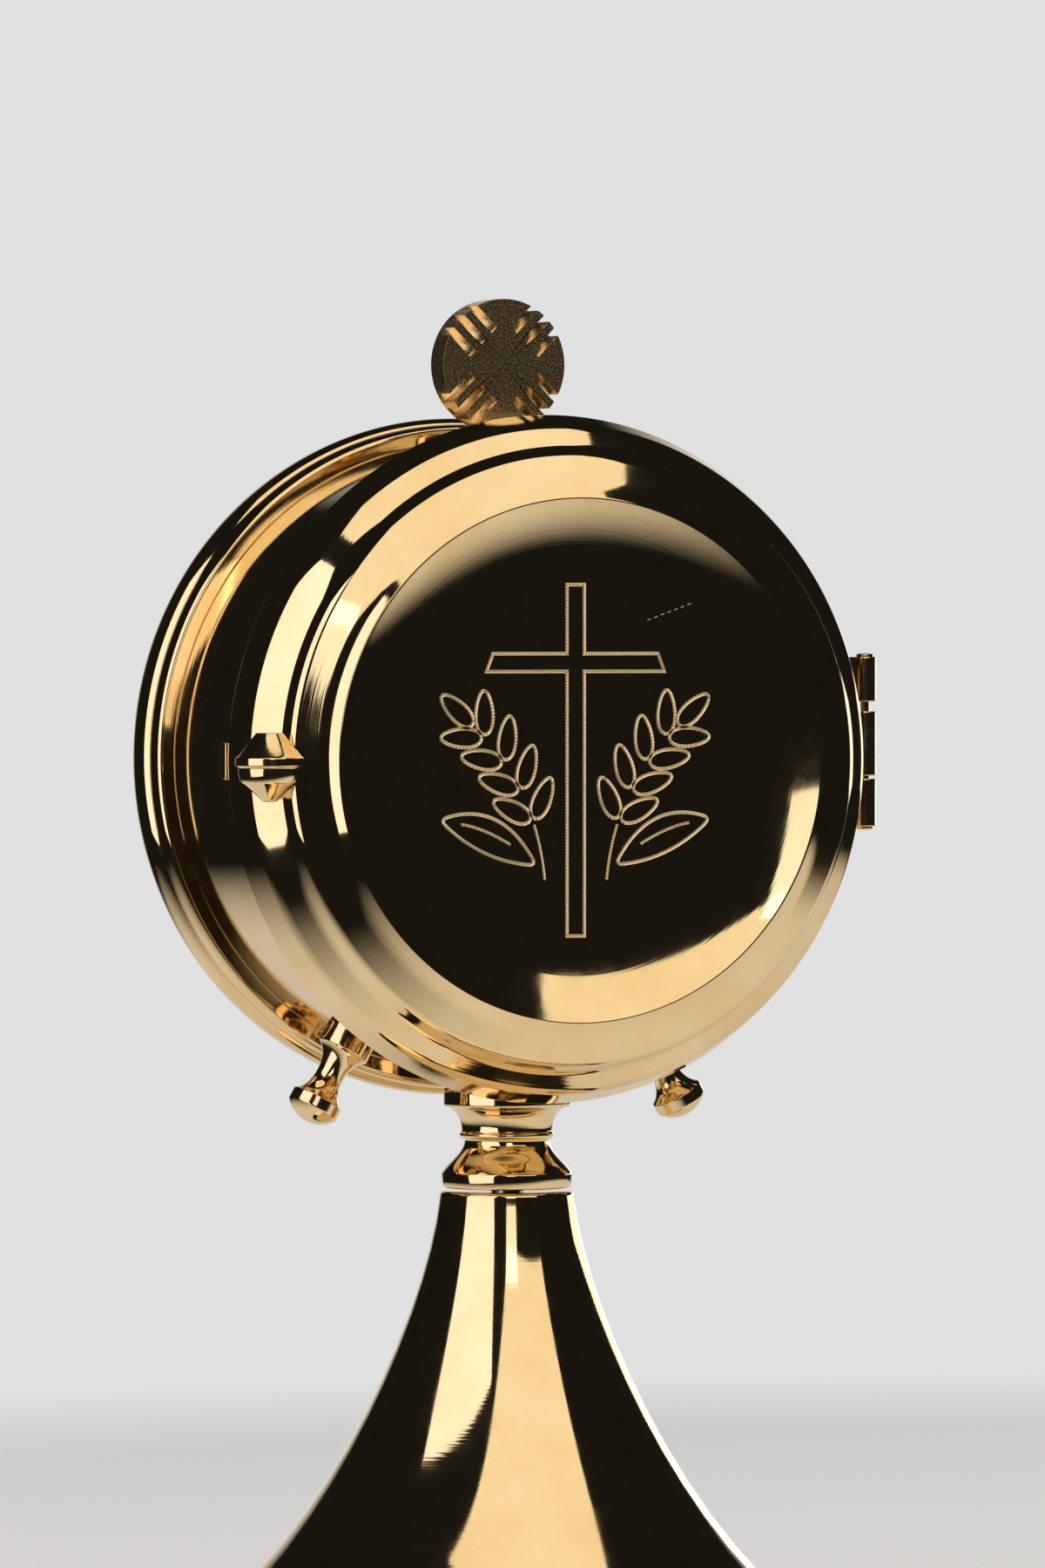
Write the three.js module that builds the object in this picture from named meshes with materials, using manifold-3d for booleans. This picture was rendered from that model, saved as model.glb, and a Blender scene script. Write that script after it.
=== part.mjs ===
// A standing luna holder: a round drum case with a hinged front lid, carried on a turned
// neck and a trumpet foot. Millimetres, +Z up, the lid faces -Y, and the origin is on the
// table under the stand's axis.
import * as THREE from "three";
import { mergeVertices } from "three/addons/utils/BufferGeometryUtils.js";
import Module from "manifold-3d";

const wasm = await Module();
wasm.setup();

// Facets round a full turn, by the size of the piece
const CASE_FACETS = 44;
const FOOT_FACETS = 40;
const NECK_FACETS = 24;
const STUD_FACETS = 20;
const PIN_FACETS = 16;

// Clearances
const SEAT_GAP = 0.3; // between curved pieces that are soldered or screwed together
const LID_GAP = 0.2; // between the lid's edge and the flange that it closes on
const SCREW_CLEARANCE = 0.3; // round the screws and the tie rod, on the radius
const RUNNING_CLEARANCE = 0.08; // round the hinge pin, on the radius
const OVERCUT = 1; // how far a cutter runs past what it cuts
const HEAD_TAPER = 0.7; // the small end of a turned head, as a share of its radius

// Case: the drum and its two covers
const CASE_HEIGHT = 122; // from the table to the case's centre
const CASE_RADIUS = 45; // the lid's rim and the rear cover's bulge
const WALL_LENGTH = 27.4; // drum wall seen between the lid's edge and the rear cover's lip
const DRUM_INSET = 3.4; // from the lid's rim in to the drum wall
const DRUM_WALL = 1;
const COVER_WALL = 1; // sheet thickness of the lid and the rear cover
const FITTINGS_BACK = 3; // the finial and the side studs stand this far behind the stand's axis

// Lid profile: each corner is set in from the rim, and forward of the lid's edge. An ease is
// how far a corner's rounding runs to either side of it.
const SHOULDER_INSET = 1.3;
const SHOULDER_DEPTH = 4.45;
const SHOULDER_EASE = 0.65;
const RISER_FOOT_INSET = 4.3;
const RISER_FOOT_DEPTH = 6.45;
const RISER_FOOT_EASE = 0.5;
const RISER_TOP_INSET = 5.15;
const RISER_TOP_DEPTH = 8.5;
const RISER_TOP_EASE = 0.45;
const TERRACE_INSET = 9;
const TERRACE_DEPTH = 9.9;
const CREST_INSET = 11;
const CREST_DEPTH = 11.4;
const CREST_EASE = 0.4;
const HOLLOW_INSET = 14.8; // the handle of the hollow between the crest and the panel
const HOLLOW_DEPTH = 9.6;
const PANEL_INSET = 18.7;
const PANEL_DEPTH = 8.9;

// Rear cover profile: set in from the bulge, and back from the lip
const LIP_INSET = 1.8;
const BEAD_INSET = 0.85;
const BEAD_DEPTH = 2.6;
const BEAD_STEP = 0.1;
const BEAD_EDGE = 0.4;
const BULGE_DEPTH = 4.7;
const BULGE_EDGE = 0.6;
const BACK_SHOULDER_INSET = 5.2;
const BACK_SHOULDER_DEPTH = 11.4;
const BACK_CREASE_INSET = 8.2;
const BACK_CREASE_DEPTH = 12.1;
const BACK_DEPTH = 13.6;
const BACK_BEND = 1.4;
const BACK_EDGE = 0.5;

// Seat ring on the drum's front edge
const FLANGE_INSET = 0.4;
const FLANGE_THICKNESS = 0.9;
const SPIGOT_DEPTH = 2.2;
const DRUM_LAP = 2; // how far the drum runs into the rear cover

// Hinge, on the right side of the case
const HINGE_RADIUS = 1.5;
const HINGE_OUT = 1.45; // from the lid's rim out to the hinge axis
const HINGE_BACK = 1.8; // from the lid's edge back to the hinge axis
const HINGE_TOP = 13.3; // above the case's centre
const TOP_KNUCKLE = 5.9;
const UPPER_GAP = 1.3;
const MIDDLE_KNUCKLE = 8.5;
const LOWER_GAP = 0.4;
const BOTTOM_KNUCKLE = 6.3;
const PIN_RADIUS = 0.6;
const PIN_HEAD_RADIUS = 1.15;
const PIN_HEAD = 0.5;
const LEAF_THICKNESS = 1;
const LEAF_LENGTH = 7.5;
const LID_LEAF_DEPTH = 3.4;
const LID_LEAF_LEG = 0.8; // thickness of the leg that joins the leaf to its knuckle

// Thumb catch and keeper, on the left side of the case
const CATCH_RADIUS = 4.45;
const CATCH_BAND = 1.5;
const CATCH_BODY_RADIUS = 4.1;
const CATCH_BODY_HEIGHT = 1.9;
const CATCH_TOP_RADIUS = 1.7;
const CATCH_TOP_HEIGHT = 3;
const CATCH_TIP_RADIUS = 1.1;
const CATCH_TIP_HEIGHT = 2.5;
const CATCH_EDGE = 0.25;
const CATCH_INSET = 2.7; // from the lid's rim in to the catch's own axis
const CATCH_DEPTH = 7.4; // from the lid's edge forward to that axis
const KEEPER_HEIGHT = 4.8;
const KEEPER_LENGTH = 1.9;
const KEEPER_CORNER = 1.2;

// Finial
const FINIAL_RADIUS = 8.66;
const FINIAL_THICKNESS = 4.3;
const FINIAL_EDGE = 0.35;
const FINIAL_STANDOFF = 1.54; // from the drum wall to the disc
const SLOT_WIDTH = 1.1;
const SLOT_SPACING = 2.2;
const SLOTS_IN_GROUP = 3;
const SLOT_START = 4.2; // from the disc's centre to the slots' inner ends
const SLOT_STEP = 0.5;
const SLOT_BEND_SHARE = 0.85;
const SLOT_RUNOUT = 0.6;
const STEM_RADIUS = 2.6;
const STEM_SHANK_RADIUS = 1.5;
const STEM_TENON_RADIUS = 1;
const STEM_TENON_LENGTH = 3.2;
const STEM_NUT_FLATS = 5.5;
const STEM_NUT_HEIGHT = 2;
const STEM_END = 0.6; // what shows of the stud past its nut

// Side studs
const STUD_ANGLE = THREE.MathUtils.degToRad(30); // from straight down
const STUD_LENGTH = 12.8;
const STUD_BASE_RADIUS = 3.5;
const STUD_BASE_HEIGHT = 2.4;
const STUD_WAIST_RADIUS = 1.85;
const STUD_BAND_RADIUS = 3.45;
const STUD_BAND_HEIGHT = 1.5;
const STUD_DOME_HEIGHT = 1.7;
const STUD_DOME_SHARE = 0.6;
const STUD_FLARE = 1;
const STUD_SCREW_RADIUS = 0.9;
const STUD_SCREW_DEPTH = 4.5;
const STUD_HEAD_RADIUS = 2.2;
const STUD_HEAD_HEIGHT = 1.3;

// Luna rest: a channel that holds the luna's ring upright
const REST_FLOOR = 2.9; // from the channel's floor out to the rest's back
const CHANNEL_WIDTH = 8.4;
const CHANNEL_LIP = 1.3;
const CHANNEL_LIP_HEIGHT = 3;
const REST_HALF_WIDTH = 15;

// Neck, from the drum down
const SADDLE_RADIUS = 7.4;
const SADDLE_HEIGHT = 1.5;
const COLLAR_RADIUS = 8.4;
const COLLAR_HEIGHT = 2.5;
const THROAT_RADIUS = 6;
const THROAT_HEIGHT = 3.2;
const FILLET_RADIUS = 6.35;
const FILLET_HEIGHT = 1.1;
const WAIST_RADIUS = 5.6;
const FLARE_HEIGHT = 4.4;
const NECK_BEAD_RADIUS = 8.65;
const NECK_BEAD_HEIGHT = 1.9;
const NECK_SEAT_RADIUS = 8.3;
const COLLAR_EDGE = 0.6;
const THROAT_BEND = 0.8;
const FILLET_SWELL = 0.35;
const FLARE_BEND = 1.7;
const FLARE_INSET = 1;
const KNOP_EDGE = 0.4;
const SEAM_HEIGHT = 0.4;

// Foot: heights are above the table
const FOOT_TOP_RADIUS = 8.9;
const FOOT_TOP_ROUND = 0.8;
const FOOT_RADIUS = 50;
const FOOT_CURVE_RADIUS = 48;
const FOOT_CURVE_HEIGHT = 4.6;
const FOOT_RIM_HEIGHT = 2.9;
const FOOT_LIFT = 0.8; // the rim's clearance over the table, where the felt stands proud
const FOOT_WALL = 1.2;
const FOOT_EDGE = 0.2;
const TRUMPET_NECK_BEND = 1.8; // the trumpet's upper handle: out from the top radius
const TRUMPET_NECK_SHARE = 0.735; // and up, as a share of the foot's height
const TRUMPET_FLARE_SHARE = 0.56; // its lower handle, as a share of the curve's radius
const TRUMPET_RISE_SHARE = 0.19; // and of the foot's height

// Base plate, felt and tie rod
const FELT_THICKNESS = 1.5;
const FELT_MARGIN = 0.4;
const PLATE_THICKNESS = 1.2;
const DISH_RADIUS = 11;
const DISH_HEIGHT = 6;
const DISH_SLOPE = 3;
const DISH_FOLD = 0.7; // how far the dish's outside stands off its inside
const ROD_RADIUS = 2;
const ROD_HEAD_RADIUS = 4;
const ROD_HEAD_HEIGHT = 1.5;
const ROD_SLOT_WIDTH = 0.9;
const ROD_SLOT_DEPTH = 0.8;
const ROD_END = 0.8; // what shows of the rod below its nut
const WASHER_RADIUS = 6;
const WASHER_THICKNESS = 0.8;
const ROD_NUT_FLATS = 7;
const ROD_NUT_HEIGHT = 3.2;

// Sizes that follow from the ones above
const drumRadius = CASE_RADIUS - DRUM_INSET;
const drumInside = drumRadius - DRUM_WALL;
const drumSeat = drumRadius + SEAT_GAP;
const lidEdge = -WALL_LENGTH / 2;
const coverLip = WALL_LENGTH / 2;
const flangeFront = lidEdge + LID_GAP;
const flangeBack = flangeFront + FLANGE_THICKNESS;
const stemNutTop = drumInside - SEAT_GAP * 2;
const hingeX = CASE_RADIUS + HINGE_OUT;
const hingeY = lidEdge + HINGE_BACK;
const pinBore = PIN_RADIUS + RUNNING_CLEARANCE;
const rodBore = ROD_RADIUS + SCREW_CLEARANCE;
const restRadius = drumInside - SEAT_GAP;
const lunaRadius = restRadius - REST_FLOOR;
const rodHeadSeat = lunaRadius + ROD_HEAD_HEIGHT;
const neckTop = -drumSeat - SADDLE_HEIGHT; // below the case's centre, as the next ones
const collarBottom = neckTop - COLLAR_HEIGHT;
const filletTop = collarBottom - THROAT_HEIGHT;
const filletBottom = filletTop - FILLET_HEIGHT;
const neckBead = filletBottom - FLARE_HEIGHT;
const neckBottom = neckBead - NECK_BEAD_HEIGHT;
const footTop = CASE_HEIGHT + neckBottom - SEAM_HEIGHT;
const plateRadius = FOOT_RADIUS - FOOT_WALL - SEAT_GAP;
const plateTop = FELT_THICKNESS + PLATE_THICKNESS;
const dishTop = FELT_THICKNESS + DISH_HEIGHT;
const washerBottom = dishTop - WASHER_THICKNESS;
const rodNutBottom = washerBottom - ROD_NUT_HEIGHT;

// Materials
const gold = new THREE.MeshStandardMaterial({ color: 0xd9b779, roughness: 0.12, metalness: 1 });
const satinGold = new THREE.MeshStandardMaterial({ color: 0xc9a25c, roughness: 0.35, metalness: 1 });
const brass = new THREE.MeshStandardMaterial({ color: 0xb58f4a, roughness: 0.4, metalness: 1 });
const steel = new THREE.MeshStandardMaterial({ color: 0x9a9a98, roughness: 0.45, metalness: 1 });
const felt = new THREE.MeshStandardMaterial({ color: 0x4a1420, roughness: 1, metalness: 0 });

const object = new THREE.Group();
const casing = new THREE.Group();
casing.position.z = CASE_HEIGHT;
object.add(casing);

function addPiece(parent, name, geometry, material) {
  const mesh = new THREE.Mesh(geometry, material);
  mesh.name = name;
  parent.add(mesh);
  return mesh;
}

// Joins the coincident corners of a closed geometry and hands it over for cutting
function solidOf(geometry) {
  const plain = new THREE.BufferGeometry();
  const source = geometry.index ? geometry.toNonIndexed() : geometry;
  plain.setAttribute("position", source.getAttribute("position"));
  const merged = mergeVertices(plain, 1e-4);
  const corners = merged.index.array;
  const kept = [];
  for (let i = 0; i < corners.length; i += 3) {
    const [a, b, c] = [corners[i], corners[i + 1], corners[i + 2]];
    if (a !== b && b !== c && a !== c) kept.push(a, b, c);
  }
  return new wasm.Manifold(new wasm.Mesh({
    numProp: 3,
    vertProperties: merged.attributes.position.array,
    triVerts: new Uint32Array(kept),
  }));
}

function geometryOf(solid) {
  const mesh = solid.getMesh();
  const geometry = new THREE.BufferGeometry();
  geometry.setAttribute("position", new THREE.BufferAttribute(mesh.vertProperties, 3));
  geometry.setIndex(new THREE.BufferAttribute(mesh.triVerts, 1));
  geometry.computeVertexNormals();
  return geometry;
}

function cut(geometry, ...tools) {
  return geometryOf(tools.reduce((solid, tool) => solid.subtract(solidOf(tool)), solidOf(geometry)));
}

function join(...geometries) {
  return geometryOf(geometries.map(solidOf).reduce((all, next) => all.add(next)));
}

function common(first, second) {
  return geometryOf(solidOf(first).intersect(solidOf(second)));
}

// Turns a profile of [radius, height] points about the Y axis. Either both ends are on the
// axis, or the profile is closed here by repeating its first point.
function turned(profile, facets) {
  const points = profile.map(([radius, height]) => new THREE.Vector2(radius, height));
  const ring = points.some((point) => point.x > 0) && points[0].x > 0;
  if (THREE.ShapeUtils.area(points) < 0) points.reverse();
  if (ring) points.push(points[0].clone());
  return new THREE.LatheGeometry(points, facets);
}

// The same about the vertical axis
function turnedUpright(profile, facets) {
  return turned(profile, facets).rotateX(Math.PI / 2);
}

function box(from, to) {
  const size = to.map((value, axis) => value - from[axis]);
  const middle = to.map((value, axis) => (value + from[axis]) / 2);
  return new THREE.BoxGeometry(...size).translate(...middle);
}

// An upright cylinder between two heights
function rod(radius, bottom, top, facets, x = 0, y = 0) {
  const height = top - bottom;
  return new THREE.CylinderGeometry(radius, radius, height, facets)
    .rotateX(Math.PI / 2)
    .translate(x, y, bottom + height / 2);
}

// A hexagon nut with a round bore
function hexNut(flats, bore, bottom, top) {
  const corner = flats / Math.sqrt(3);
  return cut(rod(corner, bottom, top, 6), rod(bore, bottom - OVERCUT, top + OVERCUT, PIN_FACETS));
}

// Points along a path, as [x, y] pairs: a straight stretch has only its ends, and the curved
// ones are divided by the given steps in turn
function pointsOf(path, ...steps) {
  const points = [path.curves[0].getPoint(0)];
  let curved = 0;
  for (const curve of path.curves) {
    if (curve.isLineCurve) {
      points.push(curve.getPoint(1));
    } else {
      points.push(...curve.getPoints(steps[curved % steps.length]).slice(1));
      curved += 1;
    }
  }
  return points.map((point) => [point.x, point.y]);
}

// Moves every point of an open outline sideways by a distance, to its left when positive
function offset(outline, distance) {
  const at = outline.map(([x, y]) => new THREE.Vector2(x, y));
  return at.map((point, i) => {
    const before = point.clone().sub(at[Math.max(i - 1, 0)]).normalize();
    const after = at[Math.min(i + 1, at.length - 1)].clone().sub(point).normalize();
    const along = before.clone().add(after).normalize();
    const lean = i === 0 || i === at.length - 1 ? 1 : Math.sqrt((1 + before.dot(after)) / 2);
    return [point.x - along.y * distance / lean, point.y + along.x * distance / lean];
  });
}

// Runs a path on through corners, [x, y, ease] each, and rounds those that have an ease. The
// last one isn't run to: it only gives the way out of the corner before it.
function runThrough(path, corners) {
  for (let i = 0; i + 1 < corners.length; i += 1) {
    const [x, y, ease] = corners[i];
    const corner = new THREE.Vector2(x, y);
    if (ease) {
      const before = path.currentPoint.clone().sub(corner).setLength(ease).add(corner);
      const after = new THREE.Vector2(corners[i + 1][0], corners[i + 1][1]);
      after.sub(corner).setLength(ease).add(corner);
      path.lineTo(before.x, before.y);
      path.quadraticCurveTo(x, y, after.x, after.y);
    } else {
      path.lineTo(x, y);
    }
  }
}

// The lid's outer face from its edge to its centre: [radius, forward of the edge]
function lidOutline(...steps) {
  const hollow = CASE_RADIUS - HOLLOW_INSET;
  const path = new THREE.Path();
  path.moveTo(CASE_RADIUS, 0);
  runThrough(path, [
    [CASE_RADIUS - SHOULDER_INSET, SHOULDER_DEPTH, SHOULDER_EASE],
    [CASE_RADIUS - RISER_FOOT_INSET, RISER_FOOT_DEPTH, RISER_FOOT_EASE],
    [CASE_RADIUS - RISER_TOP_INSET, RISER_TOP_DEPTH, RISER_TOP_EASE],
    [CASE_RADIUS - TERRACE_INSET, TERRACE_DEPTH, 0],
    [CASE_RADIUS - CREST_INSET, CREST_DEPTH, CREST_EASE],
    [hollow, HOLLOW_DEPTH, 0],
  ]);
  path.quadraticCurveTo(hollow, HOLLOW_DEPTH, CASE_RADIUS - PANEL_INSET, PANEL_DEPTH);
  return pointsOf(path, ...steps);
}

// The rear cover's outer face from its lip to its centre: [radius, back from the lip]
function coverOutline(...steps) {
  const bead = CASE_RADIUS - BEAD_INSET;
  const shoulder = CASE_RADIUS - BACK_SHOULDER_INSET;
  const crease = CASE_RADIUS - BACK_CREASE_INSET;
  const path = new THREE.Path();
  path.moveTo(CASE_RADIUS - LIP_INSET, 0);
  path.quadraticCurveTo(bead, 0, bead, BEAD_DEPTH - BEAD_EDGE);
  path.lineTo(bead - BEAD_STEP, BEAD_DEPTH);
  path.quadraticCurveTo(CASE_RADIUS, BEAD_DEPTH + BULGE_EDGE, CASE_RADIUS, BULGE_DEPTH);
  path.quadraticCurveTo(
    CASE_RADIUS, BACK_SHOULDER_DEPTH - BACK_BEND, shoulder, BACK_SHOULDER_DEPTH,
  );
  path.quadraticCurveTo(
    shoulder - BACK_BEND, BACK_SHOULDER_DEPTH + BACK_EDGE, crease, BACK_CREASE_DEPTH,
  );
  path.quadraticCurveTo(crease / 2, BACK_DEPTH, 0, BACK_DEPTH);
  return pointsOf(path, ...steps);
}

// The lid's inside from its edge to its centre, with fewer facets than its face
function lidInside() {
  const inside = offset(lidOutline(1, 1, 1, 1, 2), COVER_WALL);
  inside[0] = [CASE_RADIUS - COVER_WALL, 0];
  return inside;
}

// Radius of the lid's inside at a depth forward of its edge
function lidInsideAt(depth) {
  const inside = lidInside();
  const after = inside.findIndex((point) => point[1] > depth);
  const [[r0, d0], [r1, d1]] = [inside[after - 1], inside[after]];
  return r0 + (r1 - r0) * (depth - d0) / (d1 - d0);
}

function makeLid() {
  const outside = lidOutline(3, 2, 2, 2, 4).reverse();
  const profile = [[0, PANEL_DEPTH], ...outside, ...lidInside(), [0, PANEL_DEPTH - COVER_WALL]];
  return turned(profile.map(([radius, depth]) => [radius, lidEdge - depth]), CASE_FACETS);
}

// A solid plug of the lid's outer form, grown by a gap, that cuts what is soldered to it
function lidPlug(gap) {
  const outside = offset(lidOutline(3, 2, 2, 2, 4), -gap);
  const profile = [[0, -gap], [CASE_RADIUS + gap, -gap], ...outside, [0, PANEL_DEPTH + gap]];
  return turned(profile.map(([radius, depth]) => [radius, lidEdge - depth]), CASE_FACETS);
}

function makeCover() {
  const outside = coverOutline(3, 3, 4, 2, 3);
  const inside = offset(coverOutline(2, 2, 3, 1, 2), COVER_WALL)
    .filter(([, depth]) => depth > COVER_WALL);
  inside[inside.length - 1][0] = 0;
  const lip = [[drumSeat, COVER_WALL], [drumSeat, 0]];
  const profile = [...inside.reverse(), ...lip, ...outside];
  return turned(profile.map(([radius, depth]) => [radius, coverLip + depth]), CASE_FACETS);
}

// A solid cylinder of the drum's size with the solder gap, that cuts what stands on the drum
function drumPlug() {
  return turned([
    [0, -CASE_RADIUS], [drumSeat, -CASE_RADIUS], [drumSeat, CASE_RADIUS], [0, CASE_RADIUS],
  ], CASE_FACETS);
}

// Flange and spigot that the lid closes on, with a notch that the lid's leaf passes through
function makeBezel() {
  const spigot = lidInsideAt(SPIGOT_DEPTH) - SEAT_GAP;
  const flange = CASE_RADIUS - FLANGE_INSET;
  const { middle } = knuckles();
  const [high, low] = middle;
  const ring = turned([
    [drumSeat, lidEdge - SPIGOT_DEPTH],
    [spigot, lidEdge - SPIGOT_DEPTH],
    [spigot, flangeFront],
    [flange, flangeFront],
    [flange, flangeBack],
    [drumSeat, flangeBack],
  ], CASE_FACETS);
  const notch = box(
    [drumInside - OVERCUT, lidEdge - SPIGOT_DEPTH - OVERCUT, low - SEAT_GAP],
    [hingeX, flangeBack + OVERCUT, high + SEAT_GAP],
  );
  return cut(ring, notch);
}

// Turns a piece that stands on the drum's top round to where a side stud is
function turnToStud(geometry, side) {
  return geometry.rotateY(Math.PI - side * STUD_ANGLE).translate(0, FITTINGS_BACK, 0);
}

function makeDrum() {
  const front = lidEdge - SPIGOT_DEPTH;
  const back = coverLip + DRUM_LAP;
  const tube = turned([
    [drumInside, front], [drumRadius, front], [drumRadius, back], [drumInside, back],
  ], CASE_FACETS);
  const low = drumInside - OVERCUT * 2;
  const high = drumRadius + OVERCUT;
  const stemHole = STEM_SHANK_RADIUS + SCREW_CLEARANCE;
  const studHole = STUD_SCREW_RADIUS + SCREW_CLEARANCE;
  return cut(
    tube,
    rod(rodBore, -high, -low, PIN_FACETS),
    rod(stemHole, low, high, PIN_FACETS, 0, FITTINGS_BACK),
    turnToStud(rod(studHole, low, high, PIN_FACETS), 1),
    turnToStud(rod(studHole, low, high, PIN_FACETS), -1),
  );
}

// Heights of the knuckles from the top down, as [top, bottom] pairs
function knuckles() {
  const top = [HINGE_TOP, HINGE_TOP - TOP_KNUCKLE];
  const middle = [top[1] - UPPER_GAP, top[1] - UPPER_GAP - MIDDLE_KNUCKLE];
  const bottom = [middle[1] - LOWER_GAP, middle[1] - LOWER_GAP - BOTTOM_KNUCKLE];
  return { top, middle, bottom };
}

function knuckle([top, bottom]) {
  return rod(HINGE_RADIUS, bottom, top, PIN_FACETS, hingeX, hingeY);
}

function pinHole() {
  return rod(pinBore, -CASE_RADIUS, CASE_RADIUS, PIN_FACETS, hingeX, hingeY);
}

function makeFixedLeaf() {
  const { top, bottom } = knuckles();
  const front = flangeBack + SEAT_GAP;
  const back = front + LEAF_LENGTH;
  const plateBand = turned([
    [drumSeat, front], [drumSeat + LEAF_THICKNESS, front],
    [drumSeat + LEAF_THICKNESS, back], [drumSeat, back],
  ], CASE_FACETS);
  const plate = common(
    plateBand,
    box([0, front - OVERCUT, bottom[1]], [hingeX, back + OVERCUT, top[0]]),
  );
  const legs = [top, bottom].map(([high, low]) => cut(
    box([drumInside - HINGE_RADIUS, front, low], [hingeX, front + LEAF_THICKNESS, high]),
    drumPlug(),
  ));
  return cut(join(plate, ...legs, knuckle(top), knuckle(bottom)), pinHole());
}

// A leaf on the inside of the lid's skirt, with a leg behind the lid's edge to its knuckle
function makeLidLeaf() {
  const [high, low] = knuckles().middle;
  const outer = CASE_RADIUS - COVER_WALL - SEAT_GAP;
  const inner = outer - LEAF_THICKNESS;
  const outerFront = lidInsideAt(LID_LEAF_DEPTH) - SEAT_GAP;
  const legFront = lidEdge + SEAT_GAP;
  const legBack = legFront + LID_LEAF_LEG;
  const shell = turned([
    [outer, legBack], [outerFront, lidEdge - LID_LEAF_DEPTH],
    [outerFront - LEAF_THICKNESS, lidEdge - LID_LEAF_DEPTH], [inner, legBack],
  ], CASE_FACETS);
  const reach = box([0, lidEdge - LID_LEAF_DEPTH - OVERCUT, low], [hingeX, legBack, high]);
  const leg = box([inner, legFront, low], [hingeX, legBack, high]);
  return cut(join(common(shell, reach), leg, knuckle([high, low])), pinHole());
}

function makePin() {
  const { top, bottom } = knuckles();
  return turnedUpright([
    [0, bottom[1] - PIN_HEAD],
    [PIN_HEAD_RADIUS, bottom[1] - PIN_HEAD],
    [PIN_HEAD_RADIUS, bottom[1]],
    [PIN_RADIUS, bottom[1]],
    [PIN_RADIUS, top[0]],
    [PIN_HEAD_RADIUS, top[0]],
    [PIN_HEAD_RADIUS, top[0] + PIN_HEAD / 2],
    [PIN_HEAD_RADIUS * HEAD_TAPER, top[0] + PIN_HEAD],
    [0, top[0] + PIN_HEAD],
  ], PIN_FACETS).translate(hingeX, hingeY, 0);
}

// A turned drop with a band round it, its own axis upright, sunk in the lid's shoulder
function makeThumbCatch() {
  const band = CATCH_BAND / 2;
  const bodyBottom = -band - CATCH_BODY_HEIGHT;
  const tip = bodyBottom - CATCH_TIP_HEIGHT;
  const top = band + CATCH_TOP_HEIGHT;
  const knob = turnedUpright([
    [0, tip], [CATCH_TIP_RADIUS, tip + CATCH_EDGE], [CATCH_BODY_RADIUS, bodyBottom],
    [CATCH_BODY_RADIUS, -band], [CATCH_RADIUS, CATCH_EDGE - band], [CATCH_RADIUS, band - CATCH_EDGE],
    [CATCH_BODY_RADIUS, band], [CATCH_TOP_RADIUS, top], [0, top],
  ], STUD_FACETS).translate(CATCH_INSET - CASE_RADIUS, lidEdge - CATCH_DEPTH, 0);
  return cut(knob, lidPlug(SEAT_GAP));
}

// The keeper's outline lies in the plane of the drum's axis and the vertical
function makeKeeper() {
  const half = KEEPER_HEIGHT / 2;
  const outline = new THREE.Shape();
  outline.moveTo(0, -half);
  outline.lineTo(KEEPER_LENGTH - KEEPER_CORNER, -half);
  outline.quadraticCurveTo(KEEPER_LENGTH, -half, KEEPER_LENGTH, -half + KEEPER_CORNER);
  outline.lineTo(KEEPER_LENGTH, half - KEEPER_CORNER);
  outline.quadraticCurveTo(KEEPER_LENGTH, half, KEEPER_LENGTH - KEEPER_CORNER, half);
  outline.lineTo(0, half);
  const depth = CASE_RADIUS - drumInside;
  const block = new THREE.ExtrudeGeometry(outline, { depth, bevelEnabled: false, curveSegments: 5 });
  const turn = new THREE.Matrix4().makeBasis(
    new THREE.Vector3(0, 1, 0), new THREE.Vector3(0, 0, 1), new THREE.Vector3(1, 0, 0),
  );
  block.applyMatrix4(turn).translate(-CASE_RADIUS, flangeBack, 0);
  return cut(block, drumPlug());
}

// One kerf of the finial: its floor falls away from the face to the disc's rear edge
function slotCutter(across) {
  const front = -FINIAL_THICKNESS / 2;
  const outline = new THREE.Shape();
  const end = FINIAL_RADIUS + SLOT_RUNOUT;
  outline.moveTo(SLOT_START, front - OVERCUT);
  outline.lineTo(SLOT_START, front + SLOT_STEP);
  outline.quadraticCurveTo(
    FINIAL_RADIUS * SLOT_BEND_SHARE, front + SLOT_STEP, end, SLOT_RUNOUT - front,
  );
  outline.lineTo(end + OVERCUT, SLOT_RUNOUT - front);
  outline.lineTo(end + OVERCUT, front - OVERCUT);
  const options = { depth: SLOT_WIDTH, bevelEnabled: false, curveSegments: 4 };
  return new THREE.ExtrudeGeometry(outline, options).translate(0, 0, across - SLOT_WIDTH / 2);
}

function makeFinialDisc() {
  const half = FINIAL_THICKNESS / 2;
  const disc = turned([
    [0, -half], [FINIAL_RADIUS - FINIAL_EDGE, -half], [FINIAL_RADIUS, -half + FINIAL_EDGE],
    [FINIAL_RADIUS, half - FINIAL_EDGE], [FINIAL_RADIUS - FINIAL_EDGE, half], [0, half],
  ], NECK_FACETS);
  const cutters = [];
  for (let quarter = 0; quarter < 4; quarter += 1) {
    for (let slot = 0; slot < SLOTS_IN_GROUP; slot += 1) {
      const across = (slot - (SLOTS_IN_GROUP - 1) / 2) * SLOT_SPACING;
      cutters.push(slotCutter(across).rotateY(Math.PI / 4 + quarter * Math.PI / 2));
    }
  }
  const tenonHole = rod(
    STEM_TENON_RADIUS + SCREW_CLEARANCE, -FINIAL_RADIUS - OVERCUT,
    -FINIAL_RADIUS + STEM_TENON_LENGTH + SEAT_GAP, PIN_FACETS,
  );
  return cut(disc, ...cutters, tenonHole);
}

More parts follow.
